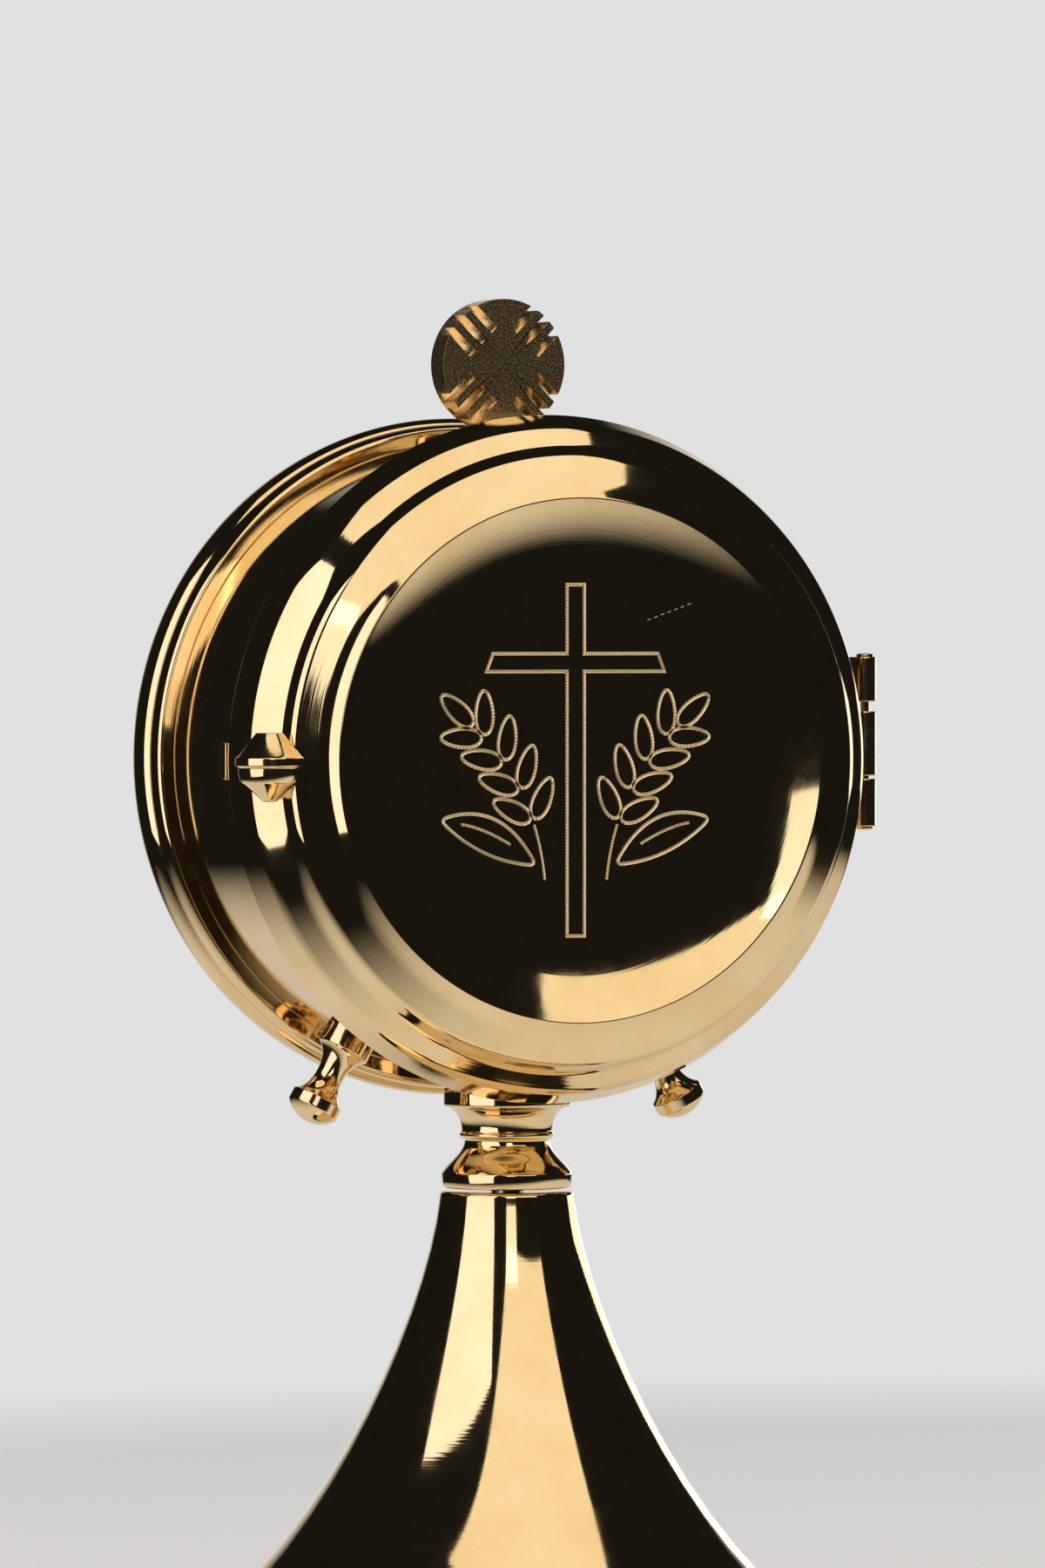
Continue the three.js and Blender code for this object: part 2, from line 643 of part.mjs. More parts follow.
function makeFinialStem() {
  const end = stemNutTop - STEM_NUT_HEIGHT - STEM_END;
  const collar = drumRadius + SEAT_GAP;
  const discBottom = drumRadius + FINIAL_STANDOFF - SEAT_GAP;
  return turnedUpright([
    [0, end], [STEM_SHANK_RADIUS, end], [STEM_SHANK_RADIUS, collar], [STEM_RADIUS, collar],
    [STEM_RADIUS, discBottom - SEAT_GAP], [STEM_RADIUS * HEAD_TAPER, discBottom],
    [STEM_TENON_RADIUS, discBottom],
    [STEM_TENON_RADIUS, discBottom + STEM_TENON_LENGTH], [0, discBottom + STEM_TENON_LENGTH],
  ], STUD_FACETS);
}

// A spool on the case's lower wall, made standing on the drum's top: height is from the axis
function makeSideStud() {
  const base = drumSeat;
  const end = base + STUD_LENGTH;
  const bandEnd = end - STUD_DOME_HEIGHT;
  const bandStart = bandEnd - STUD_BAND_HEIGHT;
  const waist = (base + STUD_BASE_HEIGHT + bandStart) / 2;
  const path = new THREE.Path();
  path.moveTo(STUD_BASE_RADIUS, base);
  path.lineTo(STUD_BASE_RADIUS, base + STUD_BASE_HEIGHT);
  path.quadraticCurveTo(
    STUD_WAIST_RADIUS, base + STUD_BASE_HEIGHT + STUD_FLARE, STUD_WAIST_RADIUS, waist,
  );
  path.quadraticCurveTo(
    STUD_WAIST_RADIUS, bandStart - STUD_FLARE, STUD_BAND_RADIUS, bandStart,
  );
  path.lineTo(STUD_BAND_RADIUS, bandEnd);
  path.quadraticCurveTo(STUD_BAND_RADIUS * STUD_DOME_SHARE, end, 0, end);
  const spool = turnedUpright([[0, base], ...pointsOf(path, 4)], STUD_FACETS);
  const hole = rod(
    STUD_SCREW_RADIUS + SCREW_CLEARANCE, base - OVERCUT, base + STUD_SCREW_DEPTH + SEAT_GAP, PIN_FACETS,
  );
  return cut(spool, hole);
}

function makeStudScrew() {
  const seat = Math.sqrt(drumInside ** 2 - STUD_HEAD_RADIUS ** 2) - SEAT_GAP;
  return turnedUpright([
    [0, seat - STUD_HEAD_HEIGHT], [STUD_HEAD_RADIUS * HEAD_TAPER, seat - STUD_HEAD_HEIGHT],
    [STUD_HEAD_RADIUS, seat - STUD_HEAD_HEIGHT / 2], [STUD_HEAD_RADIUS, seat],
    [STUD_SCREW_RADIUS, seat], [STUD_SCREW_RADIUS, drumSeat + STUD_SCREW_DEPTH],
    [0, drumSeat + STUD_SCREW_DEPTH],
  ], STUD_FACETS);
}

function makeLunaRest() {
  const half = CHANNEL_WIDTH / 2;
  const outer = half + CHANNEL_LIP;
  const lipRadius = lunaRadius - CHANNEL_LIP_HEIGHT;
  const ring = turned([
    [restRadius, -outer], [restRadius, outer], [lipRadius, outer], [lipRadius, half],
    [lunaRadius, half], [lunaRadius, -half], [lipRadius, -half], [lipRadius, -outer],
  ], CASE_FACETS * 2);
  const bottom = box(
    [-REST_HALF_WIDTH, -outer - OVERCUT, -CASE_RADIUS], [REST_HALF_WIDTH, outer + OVERCUT, 0],
  );
  return cut(
    common(ring, bottom),
    rod(rodBore, -CASE_RADIUS, OVERCUT - lunaRadius, PIN_FACETS),
    rod(ROD_HEAD_RADIUS + SCREW_CLEARANCE, -rodHeadSeat, OVERCUT - lunaRadius, STUD_FACETS),
  );
}

function makeSaddle() {
  const block = rod(SADDLE_RADIUS, neckTop, -drumInside, NECK_FACETS);
  const bore = rod(rodBore, neckTop - OVERCUT, OVERCUT - drumInside, PIN_FACETS);
  return cut(block, drumPlug(), bore);
}

function makeNeck() {
  const path = new THREE.Path();
  path.moveTo(rodBore, neckTop);
  path.lineTo(COLLAR_RADIUS - COLLAR_EDGE, neckTop);
  path.quadraticCurveTo(COLLAR_RADIUS, neckTop, COLLAR_RADIUS, neckTop - COLLAR_EDGE);
  path.lineTo(COLLAR_RADIUS, collarBottom + COLLAR_EDGE);
  path.quadraticCurveTo(COLLAR_RADIUS, collarBottom, COLLAR_RADIUS - COLLAR_EDGE, collarBottom);
  path.quadraticCurveTo(THROAT_RADIUS, collarBottom - THROAT_BEND, THROAT_RADIUS, filletTop);
  path.quadraticCurveTo(
    FILLET_RADIUS + FILLET_SWELL, (filletTop + filletBottom) / 2, WAIST_RADIUS, filletBottom,
  );
  path.bezierCurveTo(
    WAIST_RADIUS, filletBottom - FLARE_BEND, NECK_BEAD_RADIUS - FLARE_INSET, neckBead + FLARE_BEND,
    NECK_BEAD_RADIUS, neckBead,
  );
  path.quadraticCurveTo(NECK_BEAD_RADIUS, neckBottom + KNOP_EDGE, NECK_SEAT_RADIUS, neckBottom);
  path.lineTo(rodBore, neckBottom);
  return turnedUpright(pointsOf(path, 2, 2, 4, 3, 5, 2), NECK_FACETS);
}

// The trumpet's outer face from the top edge to the rim: [radius, height]
function footOutline(...steps) {
  const path = new THREE.Path();
  path.moveTo(FOOT_TOP_RADIUS - FOOT_TOP_ROUND, footTop);
  path.quadraticCurveTo(FOOT_TOP_RADIUS, footTop, FOOT_TOP_RADIUS, footTop - FOOT_TOP_ROUND);
  path.bezierCurveTo(
    FOOT_TOP_RADIUS + TRUMPET_NECK_BEND, footTop * TRUMPET_NECK_SHARE,
    FOOT_CURVE_RADIUS * TRUMPET_FLARE_SHARE, footTop * TRUMPET_RISE_SHARE,
    FOOT_CURVE_RADIUS, FOOT_CURVE_HEIGHT,
  );
  path.quadraticCurveTo(FOOT_RADIUS, FOOT_CURVE_HEIGHT - FOOT_EDGE, FOOT_RADIUS, FOOT_RIM_HEIGHT);
  path.lineTo(FOOT_RADIUS, FOOT_LIFT);
  return pointsOf(path, ...steps);
}

function makeFoot() {
  const outside = footOutline(2, 11, 3);
  const inside = offset(footOutline(1, 7, 2), -FOOT_WALL);
  inside[0] = [inside[0][0], footTop - FOOT_WALL];
  return turnedUpright([
    [rodBore, footTop], ...outside, ...inside.reverse(), [rodBore, footTop - FOOT_WALL],
  ], FOOT_FACETS);
}

function makeBasePlate() {
  return turnedUpright([
    [plateRadius, FELT_THICKNESS], [plateRadius, plateTop],
    [DISH_RADIUS + DISH_SLOPE + DISH_FOLD, plateTop],
    [DISH_RADIUS + DISH_FOLD, dishTop + PLATE_THICKNESS],
    [rodBore, dishTop + PLATE_THICKNESS], [rodBore, dishTop],
    [DISH_RADIUS, dishTop], [DISH_RADIUS + DISH_SLOPE, FELT_THICKNESS],
  ], FOOT_FACETS);
}

function makeTieRod() {
  const bottom = rodNutBottom - ROD_END;
  const seat = CASE_HEIGHT - rodHeadSeat;
  const top = seat + ROD_HEAD_HEIGHT;
  const screw = turnedUpright([
    [0, bottom], [ROD_RADIUS, bottom], [ROD_RADIUS, seat], [ROD_HEAD_RADIUS, seat],
    [ROD_HEAD_RADIUS, seat + ROD_HEAD_HEIGHT / 2], [ROD_HEAD_RADIUS * HEAD_TAPER, top], [0, top],
  ], STUD_FACETS);
  const half = ROD_SLOT_WIDTH / 2;
  return cut(screw, box(
    [-ROD_HEAD_RADIUS - OVERCUT, -half, top - ROD_SLOT_DEPTH],
    [ROD_HEAD_RADIUS + OVERCUT, half, top + OVERCUT],
  ));
}

function makeWasher() {
  return turnedUpright([
    [rodBore, washerBottom], [WASHER_RADIUS, washerBottom], [WASHER_RADIUS, dishTop], [rodBore, dishTop],
  ], STUD_FACETS);
}

// Case
addPiece(casing, "drum_shell", makeDrum(), gold);
addPiece(casing, "front_bezel", makeBezel(), gold);
addPiece(casing, "rear_cover", makeCover(), gold);
addPiece(casing, "front_lid", makeLid(), gold);
addPiece(casing, "thumb_catch", makeThumbCatch(), gold);
addPiece(casing, "catch_keeper", makeKeeper(), gold);
addPiece(casing, "hinge_fixed_leaf", makeFixedLeaf(), gold);
addPiece(casing, "hinge_lid_leaf", makeLidLeaf(), gold);
addPiece(casing, "hinge_pin", makePin(), gold);
addPiece(casing, "luna_rest", makeLunaRest(), satinGold);

// Finial, above the case
const finialHeight = drumRadius + FINIAL_STANDOFF + FINIAL_RADIUS;
addPiece(casing, "finial_disc", makeFinialDisc(), satinGold).position.set(0, FITTINGS_BACK, finialHeight);
addPiece(casing, "finial_stem", makeFinialStem(), gold).position.y = FITTINGS_BACK;
const stemNut = hexNut(
  STEM_NUT_FLATS, STEM_SHANK_RADIUS + SCREW_CLEARANCE, stemNutTop - STEM_NUT_HEIGHT, stemNutTop,
);
addPiece(casing, "finial_nut", stemNut, brass).position.y = FITTINGS_BACK;

// Side studs and their screws
for (const [name, side] of [["left", -1], ["right", 1]]) {
  addPiece(casing, "side_stud_" + name, turnToStud(makeSideStud(), side), gold);
  addPiece(casing, "stud_screw_" + name, turnToStud(makeStudScrew(), side), brass);
}

// Neck
addPiece(casing, "drum_saddle", makeSaddle(), gold);
addPiece(casing, "neck_knop", makeNeck(), gold);

// Foot and its fastening
addPiece(object, "foot_shell", makeFoot(), gold);
addPiece(object, "base_plate", makeBasePlate(), brass);
addPiece(object, "base_felt", rod(plateRadius - FELT_MARGIN, 0, FELT_THICKNESS, FOOT_FACETS), felt);
addPiece(object, "tie_rod", makeTieRod(), steel);
addPiece(object, "rod_washer", makeWasher(), steel);
addPiece(object, "rod_nut", hexNut(ROD_NUT_FLATS, rodBore, rodNutBottom, washerBottom), steel);

export default object;
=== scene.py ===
import math

import bmesh
import bpy
import numpy as np
from mathutils import Matrix, Vector
from mathutils.geometry import delaunay_2d_cdt


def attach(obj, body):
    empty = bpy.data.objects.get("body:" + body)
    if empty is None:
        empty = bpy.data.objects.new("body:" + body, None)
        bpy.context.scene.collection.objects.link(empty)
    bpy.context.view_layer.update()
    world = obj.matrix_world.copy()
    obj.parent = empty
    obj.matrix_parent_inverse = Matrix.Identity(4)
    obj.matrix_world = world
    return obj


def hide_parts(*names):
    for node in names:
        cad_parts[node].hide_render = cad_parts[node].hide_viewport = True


# The looks of a standing luna holder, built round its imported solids. Sizes are millimetres,
# and MM turns them into Blender's metres.
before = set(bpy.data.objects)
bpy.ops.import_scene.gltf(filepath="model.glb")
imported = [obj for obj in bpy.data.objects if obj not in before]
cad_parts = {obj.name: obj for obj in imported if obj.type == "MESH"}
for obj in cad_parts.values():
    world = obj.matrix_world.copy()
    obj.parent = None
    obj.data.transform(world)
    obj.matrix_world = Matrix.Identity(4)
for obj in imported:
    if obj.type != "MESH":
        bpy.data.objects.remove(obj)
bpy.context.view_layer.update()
MM = 0.001

# Fineness of the turned surfaces
SEGMENTS = 288
SMALL_SEGMENTS = 96
CURVE_STEPS = 16
EDGE_STEPS = 4
EDGE_ROUND = 0.12
CORNER_ANGLE = math.radians(18)
SHARP_ANGLE = math.radians(32)
SUPPORT = 0.05
SHARED_EDGE_SHARE = 0.4
END_EDGE_SHARE = 0.8
SAME_POINT = 1e-4
MERGE_DISTANCE = 1e-7

# Case: the drum and its two covers, about an axis along Y
CASE_HEIGHT = 122
CASE_RADIUS = 45
WALL_LENGTH = 27.4
DRUM_INSET = 3.4
DRUM_WALL = 1
COVER_WALL = 1
FITTINGS_BACK = 3
SEAT_GAP = 0.3
LID_GAP = 0.2
SEAT_LAP = 0.15

# Lid profile: corners in from the rim and forward of the edge, and their roundings' reach
SHOULDER_INSET = 1.5
SHOULDER_DEPTH = 4.25
SHOULDER_EASE = 0.85
RISER_FOOT_INSET = 4.4
RISER_FOOT_DEPTH = 6.45
RISER_FOOT_EASE = 0.7
RISER_TOP_INSET = 5.35
RISER_TOP_DEPTH = 8.6
RISER_TOP_EASE = 0.6
TERRACE_INSET = 9.3
TERRACE_DEPTH = 10.2
TERRACE_EASE = 0.9
CREST_INSET = 10.9
CREST_DEPTH = 11.4
CREST_EASE = 0.2
HOLLOW_INSET = 14.7
HOLLOW_DEPTH = 9.65
PANEL_INSET = 18.7
PANEL_DEPTH = 8.9

# Rear cover profile, in from the bulge and back from the lip
LIP_INSET = 1.8
BEAD_INSET = 0.85
BEAD_DEPTH = 2.6
BEAD_STEP = 0.1
BEAD_EDGE = 0.4
BULGE_DEPTH = 4.7
BULGE_EDGE = 0.6
BACK_SHOULDER_INSET = 5.2
BACK_SHOULDER_DEPTH = 11.4
BACK_CREASE_INSET = 8.2
BACK_CREASE_DEPTH = 12.1
BACK_DEPTH = 13.6
BACK_BEND = 1.4
BACK_EDGE = 0.5

# Seat ring
FLANGE_INSET = 0.4
FLANGE_THICKNESS = 0.9
SPIGOT_DEPTH = 2.2
SPIGOT_INSET = 2.1
DRUM_LAP = 2

# Hinge
HINGE_RADIUS = 1.5
HINGE_OUT = 1.45
HINGE_BACK = 1.8
HINGE_TOP = 13.3
TOP_KNUCKLE = 5.9
UPPER_GAP = 1.3
MIDDLE_KNUCKLE = 8.5
LOWER_GAP = 0.4
BOTTOM_KNUCKLE = 6.3
PIN_RADIUS = 0.6
RUNNING_CLEARANCE = 0.08
PIN_HEAD_RADIUS = 1.15
PIN_HEAD = 0.5
PIN_EDGE = 0.05
PIN_STEPS = 8
KNUCKLE_EDGE = 0.15
LEAF_THICKNESS = 1
LEAF_LENGTH = 7.5
LEAF_BEVEL = 0.12
LID_LEAF_DEPTH = 3.4
LID_LEAF_LEG = 0.8
LID_LEAF_BEVEL = 0.1
LEG_LAP = 0.1
LEG_END_SHARE = 0.6

# Thumb catch and keeper
CATCH_RADIUS = 4.45
CATCH_BAND = 1.5
CATCH_BODY_RADIUS = 4.1
CATCH_BODY_HEIGHT = 1.9
CATCH_TOP_RADIUS = 1.7
CATCH_TOP_HEIGHT = 3
CATCH_TIP_RADIUS = 1.1
CATCH_TIP_HEIGHT = 2.5
CATCH_FLARE = 1
CATCH_FLARE_SHARE = 1.6
CATCH_BODY_SHARE = 0.9
CATCH_BODY_BEND = 0.5
CATCH_INSET = 2.7
CATCH_DEPTH = 7.4
CATCH_EDGE = 0.25
KEEPER_HEIGHT = 4.8
KEEPER_LENGTH = 1.9
KEEPER_CORNER = 1.2
KEEPER_LAP = 0.1
KEEPER_BEVEL = 0.22

# Finial
FINIAL_RADIUS = 8.66
FINIAL_THICKNESS = 4.3
FINIAL_STANDOFF = 1.54
SLOT_WIDTH = 1.1
SLOT_SPACING = 2.2
SLOTS_IN_GROUP = 3
SLOT_START = 4.2
SLOT_STEP = 0.5
SLOT_RUNOUT = 0.6
SLOT_BEND_SHARE = 0.85
STEM_RADIUS = 2.6
FINIAL_BEVEL = 0.13
STEM_LAP = 0.4
STEM_EDGE = 0.6
STEM_EDGE_SHARE = 0.8
STEM_SHANK_RADIUS = 1.5
STEM_SHANK_LENGTH = 4

# Side studs
STUD_ANGLE = math.radians(30)
STUD_LENGTH = 12.8
STUD_BASE_RADIUS = 3.5
STUD_BASE_HEIGHT = 2.4
STUD_WAIST_RADIUS = 1.85
STUD_BAND_RADIUS = 3.45
STUD_BAND_HEIGHT = 1.5
STUD_DOME_HEIGHT = 1.7
STUD_DOME_SHARE = 0.6
STUD_FLARE = 1

# Luna rest
REST_FLOOR = 2.9
CHANNEL_WIDTH = 8.4
CHANNEL_LIP = 1.3
CHANNEL_LIP_HEIGHT = 3
REST_HALF_WIDTH = 15
ROD_HEAD_RADIUS = 4
ROD_HEAD_HEIGHT = 1.5
SCREW_CLEARANCE = 0.3
REST_BEVEL = 0.15

# Neck
SADDLE_RADIUS = 7.4
SADDLE_HEIGHT = 1.5
SADDLE_LAP = 0.02
COLLAR_RADIUS = 8.4
COLLAR_HEIGHT = 2.5
COLLAR_EDGE = 0.6
THROAT_RADIUS = 6
THROAT_HEIGHT = 3.2
THROAT_BEND = 0.8
FILLET_RADIUS = 6.35
FILLET_HEIGHT = 1.1
FILLET_SWELL = 0.35
WAIST_RADIUS = 5.6
FLARE_HEIGHT = 4.4
FLARE_BEND = 1.7
FLARE_INSET = 1
NECK_BEAD_RADIUS = 8.65
NECK_BEAD_HEIGHT = 1.9
NECK_SEAT_RADIUS = 8.3
KNOP_EDGE = 0.4
SEAM_HEIGHT = 0.4
ROD_BORE = 2.3

# Foot
FOOT_TOP_RADIUS = 8.9
FOOT_TOP_ROUND = 0.8
FOOT_RADIUS = 50
FOOT_CURVE_RADIUS = 48
FOOT_CURVE_HEIGHT = 4.6
FOOT_EDGE = 0.2
FOOT_RIM_HEIGHT = 2.9
FOOT_LIFT = 0.8
FOOT_WALL = 1.2
TRUMPET_NECK_BEND = 1.8
TRUMPET_NECK_SHARE = 0.735
TRUMPET_FLARE_SHARE = 0.56
TRUMPET_RISE_SHARE = 0.19
FELT_THICKNESS = 1.5
FELT_MARGIN = 0.4
FELT_EDGE = 0.3

# Engraving on the lid's panel: x is to the right and z up from the panel's centre
LINE_WIDTH = 0.44
LINE_DEPTH = 0.16
CHATTER_PITCH = 0.2
CHATTER_SWAY = 0.09
CHATTER_DEPTH = 0.05
CROSS_HEIGHT = 45.6
CROSS_WIDTH = 25.2
CROSS_TOP_WIDTH = 23.4
CROSS_BAR = 2.45
CROSS_ARM = 2.3
CROSS_ARM_HEIGHT = 12.7
EAR_SPINE = [(4.4, -15.5), (5.6, -3.5), (14.2, 4.2)]
EAR_START = 0.36
EAR_PITCH = 4.3
EAR_PAIRS = 4
GRAIN_LENGTH = 5.7
GRAIN_WIDTH = 2.4
GRAIN_SPREAD = math.radians(44)
GRAIN_TAPER = 0.2
GRAIN_OFFSET_SHARE = 0.75
TIP_GRAIN_OFFSET = 0.6
STEM_LINE_GAP = 0.5
STROKE_WIDTH_SHARE = 0.8
LEAF_BASE = (5.6, -13.6)
LEAF_TIP = (19.2, -7.6)
LEAF_TOP_HANDLE = (10.5, -4.6)
LEAF_LOW_HANDLE = (13.5, -13.2)
LEAF_POINT_ROUND = 1.1
LEAF_VEIN = [(9.2, -10.9), (13.2, -8.6), (16.2, -8.2)]
SPINE_STEPS = 60
GRAIN_STEPS = 40
LEAF_STEPS = 24
VEIN_STEPS = 14

# A fine scratch in the panel, as a row of short bent dashes
SCRATCH_START = (10.2, 18.2)
SCRATCH_PITCH = (0.95, 0.33)
SCRATCH_BEND = (0.25, 0.09)
SCRATCH_DASH = (0.5, 0.17)
SCRATCH_DASHES = 7
SCRATCH_WIDTH = 0.09
SCRATCH_DEPTH = 0.03

# Colours
GOLD = (0.90, 0.70, 0.40)
DEEP_GOLD = (0.84, 0.60, 0.30)
# The engraved cuts' paler gold below is a painted highlight, standing in for the light that the cuts catch
CUT_HIGHLIGHT_GOLD = (0.95, 0.80, 0.55)
BRASS = (0.72, 0.55, 0.29)
TARNISH = (0.5, 0.36, 0.18)
ZINC = (0.62, 0.62, 0.6)
DULL_ZINC = (0.45, 0.46, 0.47)
DARK_WINE = (0.12, 0.02, 0.035)
WINE = (0.34, 0.08, 0.11)

# Camera, as the photograph is framed
IMAGE_HEIGHT = 1800
PIXELS_PER_MM = 8.7935
VIEW_DISTANCE = 1500
VIEW_AZIMUTH = math.radians(-23.4)
VIEW_ELEVATION = math.radians(0.9)
VIEW_TARGET = (-3.1, -12.38, 118.8)
SENSOR_HEIGHT = 36

# Lamps: azimuth and elevation in degrees, then distance, width and height in metres,
# radiance and colour. Azimuth 0 is in front of the lid, and 90 is on its right.
LAMPS = {
    "overhead_box": (4, 55, 0.9, 0.95, 1.15, 1.08, (1, 0.93, 0.8)),
    "left_box": (-70, 13, 0.9, 0.85, 1.15, 1.45, (1, 0.92, 0.98)),
    "front_card": (-16, 14, 0.55, 0.15, 0.2, 1.3, (0.98, 0.98, 1)),
    "rear_strip": (125, 1, 1.1, 0.9, 0.2, 1.4, (0.98, 0.98, 1)),
}

# Room and floor, in metres. The reach is the cosine of the angle off the view's direction.
BACKGROUND = 0.75
BACKDROP_REACH = (0.88, 0.97)
ROOM_FRONT = 0.01
ROOM_FILL = 0.5
FLOOR_CENTRE = (0.19, 0.13, -0.0001)
FLOOR_RADIUS = 0.47
FADE_START = 0.27
FADE_END = 0.4512
FLOOR_COLOUR = 0.91

# Sizes that follow from the ones above
drum_radius = CASE_RADIUS - DRUM_INSET
drum_inside = drum_radius - DRUM_WALL
lid_edge = -WALL_LENGTH / 2
cover_lip = WALL_LENGTH / 2
flange_front = lid_edge + LID_GAP
flange_back = flange_front + FLANGE_THICKNESS
hinge_x = CASE_RADIUS + HINGE_OUT
hinge_y = lid_edge + HINGE_BACK
panel_radius = CASE_RADIUS - PANEL_INSET
panel_face = lid_edge - PANEL_DEPTH
rest_radius = drum_inside - SEAT_GAP
luna_radius = rest_radius - REST_FLOOR
drum_seat = drum_radius + SEAT_GAP
neck_top = CASE_HEIGHT - drum_seat - SADDLE_HEIGHT
collar_bottom = neck_top - COLLAR_HEIGHT
fillet_top = collar_bottom - THROAT_HEIGHT
fillet_bottom = fillet_top - FILLET_HEIGHT
neck_bead = fillet_bottom - FLARE_HEIGHT
neck_bottom = neck_bead - NECK_BEAD_HEIGHT
foot_top = neck_bottom - SEAM_HEIGHT
view_forward = Vector((
    -math.sin(VIEW_AZIMUTH) * math.cos(VIEW_ELEVATION),
    math.cos(VIEW_AZIMUTH) * math.cos(VIEW_ELEVATION), -math.sin(VIEW_ELEVATION),
))


def bezier(points, steps):
    """Points along a Bezier curve of any degree, both ends included."""
    found = []
    for k in range(steps + 1):
        level = [Vector(p) for p in points]
        while len(level) > 1:
            level = [a.lerp(b, k / steps) for a, b in zip(level, level[1:])]
        found.append(tuple(level[0]))
    return found


def outline(start, *strokes, steps=CURVE_STEPS):
    """An outline from a start point. Each stroke is its handles, if any, and its end point."""
    points = [start]
    for stroke in strokes:
        if len(stroke) == 1:
            points.append(stroke[0])
        else:
            points += bezier([points[-1], *stroke], steps)[1:]
    return points


def oblong(inner, outer, low, high):
    return [(inner, low), (outer, low), (outer, high), (inner, high)]


def offset(points, distance):
    """Moves an open outline sideways, to its left when the distance is positive."""
    at = [Vector(p) for p in points]
    moved = []
    for i, point in enumerate(at):
        before = (point - at[max(i - 1, 0)]).normalized()
        after = (at[min(i + 1, len(at) - 1)] - point).normalized()
        along = (before + after).normalized()
        ends = i in (0, len(at) - 1)
        lean = 1 if ends else max(math.sqrt((1 + before.dot(after)) / 2), 0.5)
        moved.append((point.x - along.y * distance / lean, point.y + along.x * distance / lean))
    return moved


def spaced(points, least):
    """Leaves out each point that lies too near the one kept before it."""
    kept = [Vector(points[0])]
    for point in map(Vector, points[1:]):
        if (point - kept[-1]).length > least:
            kept.append(point)
    return [tuple(p) for p in kept]


def eased(points, radius, closed):
    """Rounds the corners of an outline, with a support point beside each round."""
    at = [Vector(p) for p in points]
    count = len(at)

    def is_corner(i):
        if not closed and i in (0, count - 1):
            return False
        before = at[i] - at[i - 1]
        after = at[(i + 1) % count] - at[i]
        return before.length > 1e-6 and after.length > 1e-6 and before.angle(after) > CORNER_ANGLE

    corners = {i for i in range(count) if is_corner(i)}
    dropped = set()

    def walk(corner, step, distance):
        here, left = corner, distance
        while True:
            there = (here + step) % count
            gap = (at[there] - at[here]).length
            if there in corners:
                return at[here].lerp(at[there], min(left / gap, SHARED_EDGE_SHARE))
            if gap >= left or (not closed and there in (0, count - 1)):
                return at[here].lerp(at[there], min(left / gap, END_EDGE_SHARE))
            dropped.add(there)
            left -= gap
            here = there

    rounds = {}
    for i in corners:
        ends = [walk(i, step, radius) for step in (-1, 1)]
        beside = [walk(i, step, radius + SUPPORT) for step in (-1, 1)]
        rounds[i] = [beside[0], *map(Vector, bezier([ends[0], at[i], ends[1]], EDGE_STEPS)), beside[1]]
    kept = []
    for i in range(count):
        if i in rounds:
            kept += rounds[i]
        elif i not in dropped:
            kept.append(at[i])
    return spaced(kept, SAME_POINT)


def place_on_case(radius, along, angle):
    return Vector((radius * math.cos(angle), along, CASE_HEIGHT + radius * math.sin(angle))) * MM


def place_upright(radius, along, angle):
    return Vector((radius * math.cos(angle), radius * math.sin(angle), along)) * MM


def place_on_hinge(radius, along, angle):
    middle = Vector((hinge_x, hinge_y, CASE_HEIGHT)) * MM
    return middle + place_upright(radius, along, angle)


def linked(name, data):
    made = bpy.data.objects.new(name, data)
    bpy.context.scene.collection.objects.link(made)
    return made


def mesh_object(name, made):
    mesh = bpy.data.meshes.new(name)
    made.to_mesh(mesh)
    made.free()
    return linked(name, mesh)


def clean(made):
    bmesh.ops.remove_doubles(made, verts=made.verts, dist=MERGE_DISTANCE)
    bmesh.ops.recalc_face_normals(made, faces=made.faces)


def object_of(name, made):
    clean(made)
    return smooth(mesh_object(name, made))


def smooth(piece):
    piece.data.shade_smooth()
    piece.data.set_sharp_from_angle(angle=SHARP_ANGLE)
    return piece


def turned(name, profile, place, segments=SEGMENTS, sweep=None, ease=EDGE_ROUND):
    """Turns a profile of (radius, along) points. Its ends are on the axis, or it closes on itself.
    A sweep of (start, end) angles gives a closed segment instead of a full turn."""
    ring = profile[0][0] > 0
    points = eased(profile, ease, ring) if ease else profile
    made = bmesh.new()
    full = sweep is None
    start, end = sweep or (0, math.tau)
    steps = segments if full else max(2, round(segments * (end - start) / math.tau))
    angles = [start + (end - start) * k / steps for k in range(steps if full else steps + 1)]
    rows = [[made.verts.new(place(r, h, a)) for r, h in points] for a in angles]
    for k in range(steps):
        this, following = rows[k], rows[(k + 1) % len(rows)]
        for i in range(len(points) if ring else len(points) - 1):
            j = (i + 1) % len(points)
            corners = [this[i], this[j], following[j], following[i]]
            if points[i][0] == 0:
                corners.pop(3)
            elif points[j][0] == 0:
                corners.pop(2)
            made.faces.new(corners)
    if not full:
        made.faces.new(rows[0])
        made.faces.new(rows[-1])
    return object_of(name, made)


def extruded(name, side, ends, place):
    """Draws a closed outline out between two ends. The place function takes a corner and an end."""
    made = bmesh.new()
    near, far = [[made.verts.new(place(*corner, end)) for corner in side] for end in ends]
    made.faces.new(near)
    made.faces.new(far)
    for k in range(len(side)):
        j = (k + 1) % len(side)
        made.faces.new([near[k], near[j], far[j], far[k]])
    return object_of(name, made)


def box(name, low, high):
    made = bmesh.new()
    bmesh.ops.create_cube(made, size=1)
    for vertex in made.verts:
        share = [c + 0.5 for c in vertex.co]
        vertex.co = Vector(l + (h - l) * s for l, h, s in zip(low, high, share)) * MM
    return object_of(name, made)


def finished(piece):
    """Bakes a piece's modifiers into its mesh."""
    view = bpy.context.evaluated_depsgraph_get()
    piece.data = bpy.data.meshes.new_from_object(piece.evaluated_get(view))
    piece.modifiers.clear()
    return piece


